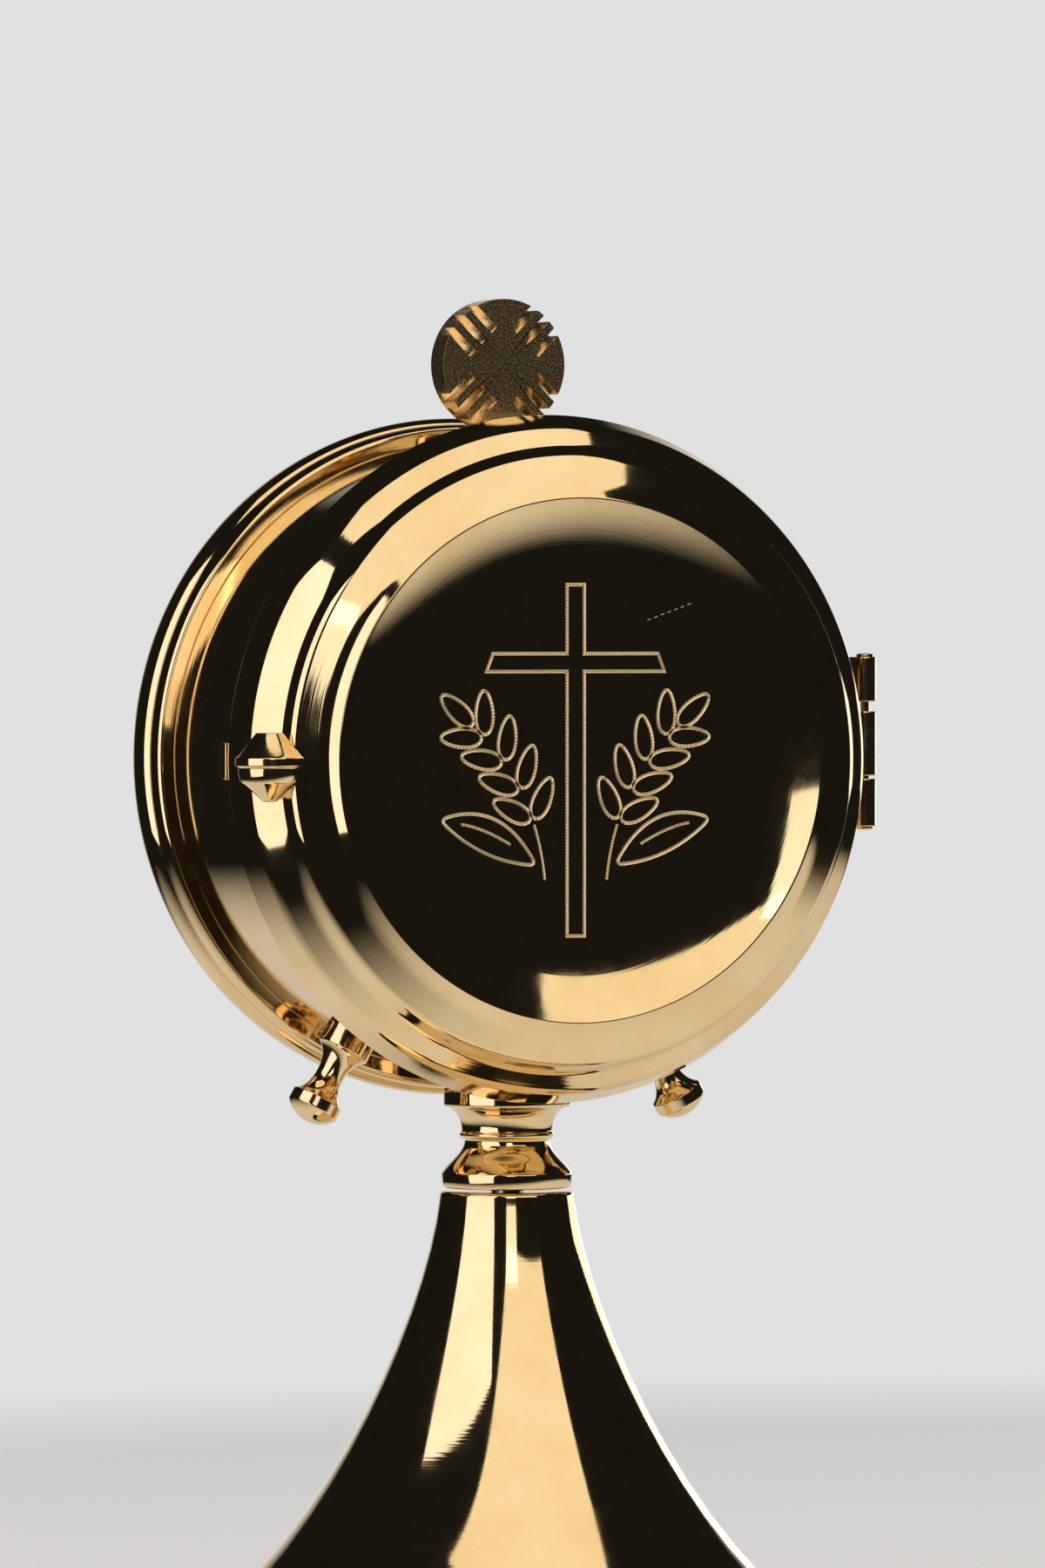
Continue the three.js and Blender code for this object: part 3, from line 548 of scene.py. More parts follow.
def combined(piece, other, operation):
    modifier = piece.modifiers.new(operation, "BOOLEAN")
    modifier.operation = operation
    modifier.object = other
    modifier.solver = "EXACT"
    finished(piece)
    bpy.data.objects.remove(other)
    return smooth(piece)


def bevelled(piece, width, segments=3):
    modifier = piece.modifiers.new("bevel", "BEVEL")
    modifier.width = width * MM
    modifier.segments = segments
    modifier.limit_method = "ANGLE"
    modifier.angle_limit = SHARP_ANGLE
    modifier.harden_normals = True
    return finished(piece)


def node(tree, kind, inputs=(), **settings):
    """Adds a shader node. Its inputs are (socket, value or output) pairs."""
    made = tree.nodes.new(kind)
    for key, value in settings.items():
        setattr(made, key, value)
    for key, value in inputs:
        if isinstance(value, bpy.types.NodeSocket):
            tree.links.new(value, made.inputs[key])
        else:
            made.inputs[key].default_value = value
    return made


def maths(tree, operation, *values):
    return node(tree, "ShaderNodeMath", enumerate(values), operation=operation).outputs[0]


def vector_maths(tree, operation, *values):
    return node(tree, "ShaderNodeVectorMath", enumerate(values), operation=operation).outputs


def new_material(name):
    material = bpy.data.materials.new(name)
    material.use_nodes = True
    tree = material.node_tree
    tree.nodes.clear()
    shader = node(tree, "ShaderNodeBsdfPrincipled")
    end = node(tree, "ShaderNodeOutputMaterial")
    tree.links.new(shader.outputs["BSDF"], end.inputs["Surface"])
    where = node(tree, "ShaderNodeTexCoord").outputs["Object"]
    return material, tree, shader, where


def noise(tree, where, size, detail=2.0, rough=0.5):
    """Noise whose features are about a size in millimetres."""
    inputs = [("Vector", where), ("Scale", 1 / (size * MM)), ("Detail", detail), ("Roughness", rough)]
    return node(tree, "ShaderNodeTexNoise", inputs).outputs["Fac"]


def spread(tree, value, low, high, to_low, to_high):
    inputs = [
        ("Value", value), ("From Min", low), ("From Max", high), ("To Min", to_low), ("To Max", to_high),
    ]
    return node(tree, "ShaderNodeMapRange", inputs).outputs["Result"]


def bump(tree, height, distance, normal=None):
    """Raises the surface by a height from 0 to 1, times a distance in millimetres."""
    inputs = [("Height", height), ("Distance", distance * MM), ("Strength", 1)]
    if normal:
        inputs.append(("Normal", normal))
    return node(tree, "ShaderNodeBump", inputs).outputs["Normal"]


def blend_colour(tree, value, first, second):
    mix = node(tree, "ShaderNodeMix", data_type="RGBA")
    tree.links.new(value, mix.inputs["Factor"])
    mix.inputs[6].default_value = (*first, 1)
    mix.inputs[7].default_value = (*second, 1)
    return mix.outputs[2]


def coat(tree, shader, tint, colours, roughness, normal, metallic=1):
    """Wires a shader. The tint is (value, low, high) and blends the two colours, and the
    roughness is (value, low, high, to low, to high)."""
    colour = blend_colour(tree, spread(tree, *tint, 0, 1), *colours)
    tree.links.new(colour, shader.inputs["Base Color"])
    tree.links.new(spread(tree, *roughness), shader.inputs["Roughness"])
    tree.links.new(normal, shader.inputs["Normal"])
    shader.inputs["Metallic"].default_value = metallic


def turned_place(tree, where, centre, along):
    """Coordinates of a turned surface: distance from its axis and place along it."""
    shifted = vector_maths(tree, "SUBTRACT", where, [c * MM for c in centre])["Vector"]
    across = [0 if axis == along else 1 for axis in "XYZ"]
    flat = vector_maths(tree, "MULTIPLY", shifted, across)["Vector"]
    radius = vector_maths(tree, "LENGTH", flat)["Value"]
    height = node(tree, "ShaderNodeSeparateXYZ", [("Vector", shifted)]).outputs[along]
    return node(tree, "ShaderNodeCombineXYZ", [("X", radius), ("Y", height)]).outputs["Vector"]


def polished_gold(name, centre, along):
    """Mirror-polished plate on a turned piece: faint turning lines, smears and a slight wave."""
    material, tree, shader, where = new_material(name)
    round_place = turned_place(tree, where, centre, along)
    smears = noise(tree, where, 14, 4, 0.6)
    haze = noise(tree, where, 3, 5, 0.7)
    lines = noise(tree, round_place, 0.35, 2)
    hollows = noise(tree, where, 16, 1)
    dull = maths(tree, "MULTIPLY", smears, haze)
    normal = bump(tree, lines, 0.004, bump(tree, hollows, 0.02))
    coat(tree, shader, (smears, 0.35, 0.7), (GOLD, DEEP_GOLD), (dull, 0.15, 0.45, 0.035, 0.1), normal)
    return material


def plain_gold(name):
    """Polished plate on small cast and cut pieces."""
    material, tree, shader, where = new_material(name)
    smears = noise(tree, where, 4, 4, 0.6)
    normal = bump(tree, noise(tree, where, 0.5, 3), 0.006)
    coat(tree, shader, (smears, 0.35, 0.7), (GOLD, DEEP_GOLD), (smears, 0.3, 0.7, 0.05, 0.14), normal)
    return material


def cloudy_metal(name, grain, colours, roughness, height):
    """A metal whose colour, shine and relief follow one grain: (size, detail, roughness)."""
    material, tree, shader, where = new_material(name)
    skin = noise(tree, where, *grain)
    normal = bump(tree, skin, height)
    coat(tree, shader, (skin, 0.3, 0.7), colours, (skin, 0.3, 0.7, *roughness), normal)
    return material


def satin_gold(name):
    """A fine cast skin with small pits and bright specks."""
    material, tree, shader, where = new_material(name)
    skin = noise(tree, where, 0.45, 4, 0.65)
    specks = noise(tree, where, 0.22, 1)
    normal = bump(tree, specks, 0.012, bump(tree, skin, 0.022))
    coat(tree, shader, (skin, 0.35, 0.65), (DEEP_GOLD, GOLD), (specks, 0.35, 0.7, 0.16, 0.36), normal)
    return material


def turned_brass(name, centre, along):
    """Unpolished brass with turning lines and a little tarnish."""
    material, tree, shader, where = new_material(name)
    round_place = turned_place(tree, where, centre, along)
    lines = noise(tree, round_place, 0.12, 2)
    stains = noise(tree, where, 5, 4, 0.6)
    normal = bump(tree, lines, 0.01)
    coat(tree, shader, (stains, 0.35, 0.7), (BRASS, TARNISH), (stains, 0.3, 0.7, 0.22, 0.42), normal)
    return material


def felt_cloth(name):
    """Pressed wool: matted fibres in a dark wine red."""
    material, tree, shader, where = new_material(name)
    fibres = noise(tree, where, 0.25, 6, 0.75)
    mottle = noise(tree, where, 3, 4, 0.6)
    shade = maths(tree, "MULTIPLY", fibres, mottle)
    normal = bump(tree, fibres, 0.15)
    coat(tree, shader, (shade, 0.12, 0.4), (DARK_WINE, WINE), (fibres, 0.3, 0.7, 0.85, 1), normal, 0)
    shader.inputs["Sheen Weight"].default_value = 0.4
    shader.inputs["Sheen Roughness"].default_value = 0.5
    return material


case_gold = polished_gold("case_gold", (0, 0, CASE_HEIGHT), "Y")
stand_gold = polished_gold("stand_gold", (0, 0, 0), "Z")
small_gold = plain_gold("small_gold")
# The engraved cuts get a paler gold, a painted highlight for the light that they catch, blended with plain
# gold by noise
cut_highlight_gold = cloudy_metal("cut_highlight_gold", (0.15, 3), (CUT_HIGHLIGHT_GOLD, GOLD), (0.28, 0.5), 0.02)
finial_gold = satin_gold("finial_gold")
case_brass = turned_brass("case_brass", (0, FITTINGS_BACK, 0), "Z")
steel = cloudy_metal("steel", (0.8, 4, 0.6), (ZINC, DULL_ZINC), (0.25, 0.45), 0.01)
felt = felt_cloth("felt")


def settle(piece, material, solid, body="stand"):
    """Gives a piece its material, its body and the solid that it stands for."""
    if not piece.data.materials:
        piece.data.materials.append(material)
    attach(piece, body)
    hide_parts(solid)


def lid_outline(steps=CURVE_STEPS):
    """The lid's outer face from its edge to its panel: (radius, forward of the edge)."""
    corners = [
        (SHOULDER_INSET, SHOULDER_DEPTH, SHOULDER_EASE),
        (RISER_FOOT_INSET, RISER_FOOT_DEPTH, RISER_FOOT_EASE),
        (RISER_TOP_INSET, RISER_TOP_DEPTH, RISER_TOP_EASE),
        (TERRACE_INSET, TERRACE_DEPTH, TERRACE_EASE),
        (CREST_INSET, CREST_DEPTH, CREST_EASE),
        (HOLLOW_INSET, HOLLOW_DEPTH, 0),
    ]
    at = [Vector((CASE_RADIUS - inset, depth)) for inset, depth, _ in corners]
    points = [(CASE_RADIUS, 0)]
    for corner, following, (_, _, ease) in zip(at, at[1:], corners):
        before = corner + (Vector(points[-1]) - corner).normalized() * ease
        after = corner + (following - corner).normalized() * ease
        points += bezier([before, corner, after], steps)
    return points + bezier([points[-1], at[-1], (panel_radius, PANEL_DEPTH)], CURVE_STEPS)[1:]


def lid_inside():
    within = offset(lid_outline(1), COVER_WALL)
    within[0] = (CASE_RADIUS - COVER_WALL, 0)
    return within


def lid_inside_at(depth):
    """Radius of the lid's inside at a depth forward of its edge."""
    within = lid_inside()
    after = next(i for i, point in enumerate(within) if point[1] > depth)
    (r0, d0), (r1, d1) = within[after - 1], within[after]
    return r0 + (r1 - r0) * (depth - d0) / (d1 - d0)


def lid_place(radius, depth, angle):
    return place_on_case(radius, lid_edge - depth, angle)


def cover_place(radius, depth, angle):
    return place_on_case(radius, cover_lip + depth, angle)


def cross_loop():
    """A Latin cross in outline, with arms that widen a little downwards."""
    bar = CROSS_BAR / 2
    top = CROSS_HEIGHT / 2
    arm_top = CROSS_ARM_HEIGHT + CROSS_ARM / 2
    arm_low = CROSS_ARM_HEIGHT - CROSS_ARM / 2
    half = [
        (bar, top), (bar, arm_top), (CROSS_TOP_WIDTH / 2, arm_top), (CROSS_WIDTH / 2, arm_low),
        (bar, arm_low), (bar, -top),
    ]
    return half + [(-x, z) for x, z in reversed(half)]


def grain_loop(base, heading):
    """An egg-shaped grain with its blunt end at the base."""
    along = Vector((math.cos(heading), math.sin(heading)))
    across = Vector((-along.y, along.x))
    points = []
    for k in range(GRAIN_STEPS):
        turn = math.tau * k / GRAIN_STEPS
        reach = GRAIN_LENGTH / 2 * (1 - math.cos(turn))
        half = GRAIN_WIDTH / 2 * math.sin(turn) * (1 + GRAIN_TAPER * math.cos(turn))
        points.append(tuple(Vector(base) + along * reach - across * half))
    return points


def ear_lines():
    """One wheat ear: closed loops for grains and leaf, and open strokes for stem and vein."""
    spine = [Vector(p) for p in bezier(EAR_SPINE, SPINE_STEPS)]
    lengths = [0]
    for a, b in zip(spine, spine[1:]):
        lengths.append(lengths[-1] + (b - a).length)

    def at(distance):
        i = next(k for k in range(1, SPINE_STEPS + 1) if lengths[k] >= distance or k == SPINE_STEPS)
        step = spine[i] - spine[i - 1]
        place = spine[i - 1] + step.normalized() * (distance - lengths[i - 1])
        return place, math.atan2(step.y, step.x)

    loops = []
    first = lengths[-1] * EAR_START
    for k in range(EAR_PAIRS):
        place, heading = at(first + k * EAR_PITCH)
        for side in (-1, 1):
            across = Vector((-math.sin(heading), math.cos(heading))) * side
            base = place + across * (LINE_WIDTH * GRAIN_OFFSET_SHARE)
            loops.append(grain_loop(tuple(base), heading + side * GRAIN_SPREAD))
    tip, heading = at(lengths[-1])
    tip += Vector((math.cos(heading), math.sin(heading))) * TIP_GRAIN_OFFSET
    loops.append(grain_loop(tuple(tip), heading))
    upper = bezier([LEAF_BASE, LEAF_TOP_HANDLE, LEAF_TIP], LEAF_STEPS)
    lower = bezier([LEAF_TIP, LEAF_LOW_HANDLE, LEAF_BASE], LEAF_STEPS)
    leaf = upper[:-1] + lower[:-1]
    loops.append(eased(leaf, LEAF_POINT_ROUND, True))
    stem = [tuple(p) for p, length in zip(spine, lengths) if length < first - STEM_LINE_GAP]
    return loops, [stem, bezier(LEAF_VEIN, VEIN_STEPS)]


def mirrored(points):
    return [(-x, z) for x, z in reversed(points)]


def resampled(points, pitch, closed):
    """Points at an even pitch along each edge, with the corners kept."""
    found = []
    ends = points[1:] + points[:1] if closed else points[1:]
    carried = 0.0
    for start, end in zip(points, ends):
        a, b = Vector(start), Vector(end)
        length = (b - a).length
        steps = max(1, round((length + carried) / pitch)) if length + carried >= pitch else 0
        if steps == 0:
            carried += length
            if not found:
                found.append(tuple(a))
            continue
        found += [tuple(a.lerp(b, k / steps)) for k in range(steps)]
        carried = 0.0
    if not closed:
        found.append(tuple(points[-1]))
    return spaced(found, pitch / 2)


def sides(points, width, closed):
    """The two edges of a line of a given width."""
    at = [Vector(p) for p in points]
    count = len(at)
    left, right = [], []
    for i, point in enumerate(at):
        before = at[i - 1] if closed or i > 0 else point
        after = at[(i + 1) % count] if closed or i < count - 1 else point
        first = (point - before).normalized() if point != before else (after - point).normalized()
        second = (after - point).normalized() if point != after else first
        along = (first + second).normalized()
        lean = max(math.sqrt(max((1 + first.dot(second)) / 2, 0)), 0.6)
        across = Vector((-along.y, along.x)) * (width / 2 / lean)
        left.append(tuple(point + across))
        right.append(tuple(point - across))
    return left, right


def inside(points, loop):
    """Which of many points lie inside a closed loop."""
    px, pz = points[:, 0:1], points[:, 1:2]
    a = np.array(loop)
    b = np.roll(a, -1, axis=0)
    crosses = (a[:, 1] > pz) != (b[:, 1] > pz)
    rise = np.where(b[:, 1] == a[:, 1], 1e-12, b[:, 1] - a[:, 1])
    hit = a[:, 0] + (pz - a[:, 1]) * (b[:, 0] - a[:, 0]) / rise
    return np.logical_and(crosses, px < hit).sum(axis=1) % 2 == 1


def panel_point(x, z, depth=0.0):
    return Vector((x, panel_face + depth, CASE_HEIGHT + z)) * MM


def cut_line(made, points, width, closed, depth):
    """Cuts one engraved line: its two edges on the panel and a chattered bottom between them."""
    left, right = sides(points, width, closed)
    count = len(points)
    bottom = []
    for i, (a, b) in enumerate(zip(left, right)):
        sway = 0.5 + (CHATTER_SWAY if i % 2 else -CHATTER_SWAY) / width
        deep = depth + (CHATTER_DEPTH if i % 2 else -CHATTER_DEPTH) * depth / LINE_DEPTH
        at = Vector(a).lerp(Vector(b), sway)
        bottom.append(made.verts.new(panel_point(at.x, at.y, deep)))
    edges = [[made.verts.new(panel_point(*p)) for p in side] for side in (left, right)]
    faces = []
    for i in range(count if closed else count - 1):
        j = (i + 1) % count
        for edge in edges:
            faces.append(made.faces.new([edge[i], edge[j], bottom[j], bottom[i]]))
    if not closed:
        for i in (0, count - 1):
            faces.append(made.faces.new([edges[0][i], edges[1][i], bottom[i]]))
    for face in faces:
        face.material_index = 1
        face.smooth = False
    if closed:
        return [left, right]
    return [left + right[::-1]]


def engraved_panel(made):
    """Cuts the lines and the scratch, and fills the flat panel round them."""
    loops, strokes = ear_lines()
    loops = loops + [mirrored(loop) for loop in loops] + [cross_loop()]
    strokes = strokes + [mirrored(stroke) for stroke in strokes]
    contours = []
    for loop in loops:
        even = resampled(loop, CHATTER_PITCH, True)
        contours += cut_line(made, even, LINE_WIDTH, True, LINE_DEPTH)
    for stroke in strokes:
        even = resampled(stroke, CHATTER_PITCH, False)
        contours += cut_line(made, even, LINE_WIDTH * STROKE_WIDTH_SHARE, False, LINE_DEPTH)
    for k in range(SCRATCH_DASHES):
        start = Vector([s + k * step for s, step in zip(SCRATCH_START, SCRATCH_PITCH)])
        dash = [tuple(start + Vector(along)) for along in ((0, 0), SCRATCH_BEND, SCRATCH_DASH)]
        contours += cut_line(made, dash, SCRATCH_WIDTH, False, SCRATCH_DEPTH)
    rim = [
        (panel_radius * math.cos(math.tau * k / SEGMENTS), panel_radius * math.sin(math.tau * k / SEGMENTS))
        for k in range(SEGMENTS)
    ]
    corners, edges = [], []
    for contour in [rim, *contours]:
        start = len(corners)
        corners += contour
        edges += [(start + k, start + (k + 1) % len(contour)) for k in range(len(contour))]
    found = delaunay_2d_cdt([Vector(c) for c in corners], edges, [], 0, 1e-5)
    points = np.array([tuple(p) for p in found[0]])
    triangles = [tuple(t) for t in found[2]]
    middles = np.array([points[list(t)].mean(axis=0) for t in triangles])
    in_line = np.zeros(len(triangles), int)
    for contour in contours:
        in_line += inside(middles, contour)
    vertices = [made.verts.new(panel_point(x, z)) for x, z in points]
    for triangle, crossed in zip(triangles, in_line):
        if crossed % 2 == 0:
            face = made.faces.new([vertices[k] for k in triangle])
            face.smooth = False


def make_lid():
    """The lid as one closed sheet, with its engraved panel."""
    open_profile = [*reversed(lid_outline()), *lid_inside(), (0, PANEL_DEPTH - COVER_WALL)]
    points = eased(open_profile, EDGE_ROUND, False)
    made = bmesh.new()
    angles = [math.tau * k / SEGMENTS for k in range(SEGMENTS)]
    rows = [[made.verts.new(lid_place(r, d, a)) for r, d in points] for a in angles]
    for k in range(SEGMENTS):
        this, following = rows[k], rows[(k + 1) % SEGMENTS]
        for i in range(len(points) - 1):
            corners = [this[i], this[i + 1], following[i + 1], following[i]]
            if points[i + 1][0] == 0:
                corners.pop(2)
            made.faces.new(corners).smooth = True
    engraved_panel(made)
    clean(made)
    for edge in made.edges:
        edge.smooth = all(face.smooth for face in edge.link_faces)
    lid = mesh_object("lid_shell", made)
    lid.data.materials.append(case_gold)
    # The second slot holds the cuts' gold, painted paler as a highlight
    lid.data.materials.append(cut_highlight_gold)
    settle(lid, case_gold, "front_lid", body="lid")


def make_cover():
    """The rear cover: a lip, a bead, a bulged side and a slightly domed back."""
    bead = CASE_RADIUS - BEAD_INSET
    shoulder = CASE_RADIUS - BACK_SHOULDER_INSET
    crease = CASE_RADIUS - BACK_CREASE_INSET
    outside = outline(
        (CASE_RADIUS - LIP_INSET, 0),
        [(bead, 0), (bead, BEAD_DEPTH - BEAD_EDGE)],
        [(bead - BEAD_STEP, BEAD_DEPTH)],
        [(CASE_RADIUS, BEAD_DEPTH + BULGE_EDGE), (CASE_RADIUS, BULGE_DEPTH)],
        [(CASE_RADIUS, BACK_SHOULDER_DEPTH - BACK_BEND), (shoulder, BACK_SHOULDER_DEPTH)],
        [(shoulder - BACK_BEND, BACK_SHOULDER_DEPTH + BACK_EDGE), (crease, BACK_CREASE_DEPTH)],
        [(crease / 2, BACK_DEPTH), (0, BACK_DEPTH)],
    )
    within = [p for p in offset(outside, COVER_WALL) if p[1] > COVER_WALL]
    within[-1] = (0, within[-1][1])
    lip = [(drum_radius, COVER_WALL), (drum_radius, 0)]
    profile = [*reversed(within), *lip, *outside]
    cover = turned("rear_cover_shell", profile, cover_place)
    settle(cover, case_gold, "rear_cover")


def make_drum():
    wall = oblong(drum_inside, drum_radius, lid_edge - SPIGOT_DEPTH, cover_lip + DRUM_LAP)
    drum = turned("drum_wall", wall, place_on_case)
    settle(drum, case_gold, "drum_shell")


def knuckles():
    """The knuckles' (top, bottom) heights, from the top down."""
    top = (HINGE_TOP, HINGE_TOP - TOP_KNUCKLE)
    middle = (top[1] - UPPER_GAP, top[1] - UPPER_GAP - MIDDLE_KNUCKLE)
    bottom = (middle[1] - LOWER_GAP, middle[1] - LOWER_GAP - BOTTOM_KNUCKLE)
    return top, middle, bottom


def angle_at(height, radius):
    return math.asin(height / radius)


def make_bezel():
    """Flange and spigot, open at the notch for the lid's leaf."""
    top, bottom = knuckles()[1]
    spigot = CASE_RADIUS - SPIGOT_INSET
    flange = CASE_RADIUS - FLANGE_INSET
    profile = [
        (drum_radius, lid_edge - SPIGOT_DEPTH), (spigot, lid_edge - SPIGOT_DEPTH),
        (spigot, flange_front), (flange, flange_front), (flange, flange_back), (drum_radius, flange_back),
    ]
    start = angle_at(top + SEAT_GAP, flange)
    end = math.tau + angle_at(bottom - SEAT_GAP, flange)
    bezel = turned("seat_ring", profile, place_on_case, sweep=(start, end))
    settle(bezel, case_gold, "front_bezel")


def barrel(name, top, bottom):
    """A knuckle of the hinge, with the pin's bore."""
    wall = oblong(PIN_RADIUS + RUNNING_CLEARANCE, HINGE_RADIUS, bottom, top)
    return turned(name, wall, place_on_hinge, SMALL_SEGMENTS, ease=KNUCKLE_EDGE)


def make_fixed_leaf():
    """A leaf on the drum, with a leg to each of its two knuckles."""
    top, _, bottom = knuckles()
    front = flange_back + SEAT_GAP
    low, high = bottom[1], top[0]
    plate = oblong(drum_radius, drum_radius + LEAF_THICKNESS, front, front + LEAF_LENGTH)
    sweep = (angle_at(low, drum_radius), angle_at(high, drum_radius))
    leaf = turned("hinge_leaf_on_drum", plate, place_on_case, SEGMENTS * 2, sweep, ease=0)
    for end in (top, bottom):
        leg_low = (drum_inside, front, CASE_HEIGHT + end[1])
        leg = box("leg", leg_low, (hinge_x, front + LEAF_THICKNESS, CASE_HEIGHT + end[0]))
        combined(leaf, leg, "UNION")
    bevelled(leaf, LEAF_BEVEL)
    settle(leaf, small_gold, "hinge_fixed_leaf")
    settle(barrel("knuckle_top", *top), small_gold, "hinge_fixed_leaf")
    settle(barrel("knuckle_bottom", *bottom), small_gold, "hinge_fixed_leaf")


def make_lid_leaf():
    """A leaf inside the lid's skirt, with a leg behind the lid's edge to the middle knuckle."""
    top, bottom = knuckles()[1]
    leg_back = -SEAT_GAP - LID_LEAF_LEG
    outer_radius = CASE_RADIUS - COVER_WALL
    inner_radius = outer_radius - LEAF_THICKNESS
    front_radius = lid_inside_at(LID_LEAF_DEPTH)
    profile = [
        (outer_radius, leg_back), (front_radius, LID_LEAF_DEPTH),
        (front_radius - LEAF_THICKNESS, LID_LEAF_DEPTH), (inner_radius, leg_back),
    ]
    sweep = (angle_at(bottom, CASE_RADIUS), angle_at(top, CASE_RADIUS))
    leaf = turned("hinge_leaf_in_lid", profile, lid_place, SEGMENTS * 2, sweep, ease=0)
    leg_low = (inner_radius + LEG_LAP, lid_edge + SEAT_GAP, CASE_HEIGHT + bottom)
    leg_high = (hinge_x - HINGE_RADIUS * LEG_END_SHARE, lid_edge - leg_back, CASE_HEIGHT + top)
    combined(leaf, box("leg", leg_low, leg_high), "UNION")
    bevelled(leaf, LID_LEAF_BEVEL)
    settle(leaf, small_gold, "hinge_lid_leaf", body="lid")
    settle(barrel("knuckle_middle", top, bottom), small_gold, "hinge_lid_leaf", body="lid")


def make_pin():
    """A plain pin with a domed head at each end."""
    top, bottom = knuckles()[0][0], knuckles()[2][1]
    head_top, head_bottom = top + PIN_HEAD, bottom - PIN_HEAD
    profile = outline(
        (0, head_bottom), [(PIN_HEAD_RADIUS, head_bottom), (PIN_HEAD_RADIUS, bottom - PIN_HEAD / 2)],
        [(PIN_HEAD_RADIUS, bottom)], [(PIN_RADIUS, bottom)], [(PIN_RADIUS, top)], [(PIN_HEAD_RADIUS, top)],
        [(PIN_HEAD_RADIUS, top + PIN_HEAD / 2)], [(PIN_HEAD_RADIUS, head_top), (0, head_top)],
        steps=PIN_STEPS,
    )
    pin = turned("hinge_pin_steel", profile, place_on_hinge, SMALL_SEGMENTS, ease=PIN_EDGE)
    settle(pin, small_gold, "hinge_pin")


def make_catch():
    """A turned drop with a band, its own axis upright, sunk in the lid's shoulder."""
    band = CATCH_BAND / 2
    body = -band - CATCH_BODY_HEIGHT
    tip = body - CATCH_TIP_HEIGHT
    top = band + CATCH_TOP_HEIGHT

    def place(r, h, a):
        x = CATCH_INSET - CASE_RADIUS + r * math.cos(a)
        y = lid_edge - CATCH_DEPTH + r * math.sin(a)
        return Vector((x, y, CASE_HEIGHT + h)) * MM

    profile = outline(
        (0, tip),
        [(CATCH_TIP_RADIUS, tip), (CATCH_TIP_RADIUS, tip + CATCH_EDGE)],
        [
            (CATCH_TIP_RADIUS * CATCH_FLARE_SHARE, tip + CATCH_FLARE),
            (CATCH_BODY_RADIUS * CATCH_BODY_SHARE, body),
        ],
        [(CATCH_BODY_RADIUS, body + CATCH_BODY_BEND), (CATCH_BODY_RADIUS, -band)],
        [(CATCH_RADIUS, CATCH_EDGE - band)], [(CATCH_RADIUS, band - CATCH_EDGE)],
        [(CATCH_BODY_RADIUS, band)],
        [(CATCH_TOP_RADIUS, top)], [(0, top)],
    )
    catch = turned("thumb_knob", profile, place, SMALL_SEGMENTS)
    plug_profile = [(0, -1), (CASE_RADIUS, -1), *lid_outline(), (0, PANEL_DEPTH)]
    plug = turned("plug", plug_profile, lid_place, ease=0)
    combined(catch, plug, "DIFFERENCE")
    settle(catch, small_gold, "thumb_catch", body="lid")


def make_keeper():
    """A small block with rounded rear corners, from the drum's wall out to the rim's radius."""
    half = KEEPER_HEIGHT / 2
    corner = KEEPER_LENGTH - KEEPER_CORNER
    side = outline(
        (0, -half), [(corner, -half)],
        [(KEEPER_LENGTH, -half), (KEEPER_LENGTH, -half + KEEPER_CORNER)],
        [(KEEPER_LENGTH, half - KEEPER_CORNER)],
        [(KEEPER_LENGTH, half), (corner, half)], [(0, half)],
    )

    def place(y, z, radius):
        return Vector((-radius, flange_back + y, CASE_HEIGHT + z)) * MM

    keeper = extruded("keeper_block", side, (CASE_RADIUS, drum_radius - KEEPER_LAP), place)
    bevelled(keeper, KEEPER_BEVEL)
    settle(keeper, small_gold, "catch_keeper")


def slot_cutter(across, turn, centre):
    """One kerf of the finial, whose floor falls away to the disc's rear edge."""
    front = -FINIAL_THICKNESS / 2
    end = FINIAL_RADIUS + SLOT_RUNOUT
    side = outline(
        (SLOT_START, front - 1), [(SLOT_START, front + SLOT_STEP)],
        [(FINIAL_RADIUS * SLOT_BEND_SHARE, front + SLOT_STEP), (end, SLOT_RUNOUT - front)],
        [(end + 1, SLOT_RUNOUT - front)], [(end + 1, front - 1)],
    )
    spin = Matrix.Rotation(turn, 4, "Y")

    def place(x, y, z):
        return (centre + spin @ Vector((x, y, z))) * MM

    return extruded("cutter", side, (across - SLOT_WIDTH / 2, across + SLOT_WIDTH / 2), place)


def make_finial():
    """A thick disc with a group of kerfs on each diagonal."""
    centre = Vector((0, FITTINGS_BACK, CASE_HEIGHT + drum_radius + FINIAL_STANDOFF + FINIAL_RADIUS))
    half = FINIAL_THICKNESS / 2

    def place(r, h, a):
        return (centre + Vector((r * math.cos(a), h, r * math.sin(a)))) * MM

    plate = oblong(0, FINIAL_RADIUS, -half, half)
    disc = turned("finial_plate", plate, place, SMALL_SEGMENTS * 2, ease=0)
    for quarter in range(4):
        turn = math.pi / 4 + quarter * math.pi / 2
        for slot in range(SLOTS_IN_GROUP):
            across = (slot - (SLOTS_IN_GROUP - 1) / 2) * SLOT_SPACING
            combined(disc, slot_cutter(across, turn, centre), "DIFFERENCE")
    bevelled(disc, FINIAL_BEVEL)
    settle(disc, finial_gold, "finial_disc")


def make_stem():
    """The finial's collar, with its shank through the drum's wall."""
    bottom = CASE_HEIGHT + drum_radius
    seat = bottom - SEAT_LAP
    top = bottom + FINIAL_STANDOFF + STEM_LAP
    end = CASE_HEIGHT + drum_inside - STEM_SHANK_LENGTH

    def place(r, h, a):
        return Vector((r * math.cos(a), FITTINGS_BACK + r * math.sin(a), h)) * MM

    profile = [
        (0, end), (STEM_SHANK_RADIUS, end), (STEM_SHANK_RADIUS, seat), (STEM_RADIUS, seat),
        (STEM_RADIUS, top - STEM_EDGE), (STEM_RADIUS * STEM_EDGE_SHARE, top), (0, top),
    ]
    stem = turned("finial_collar", profile, place, SMALL_SEGMENTS)
    settle(stem, small_gold, "finial_stem")


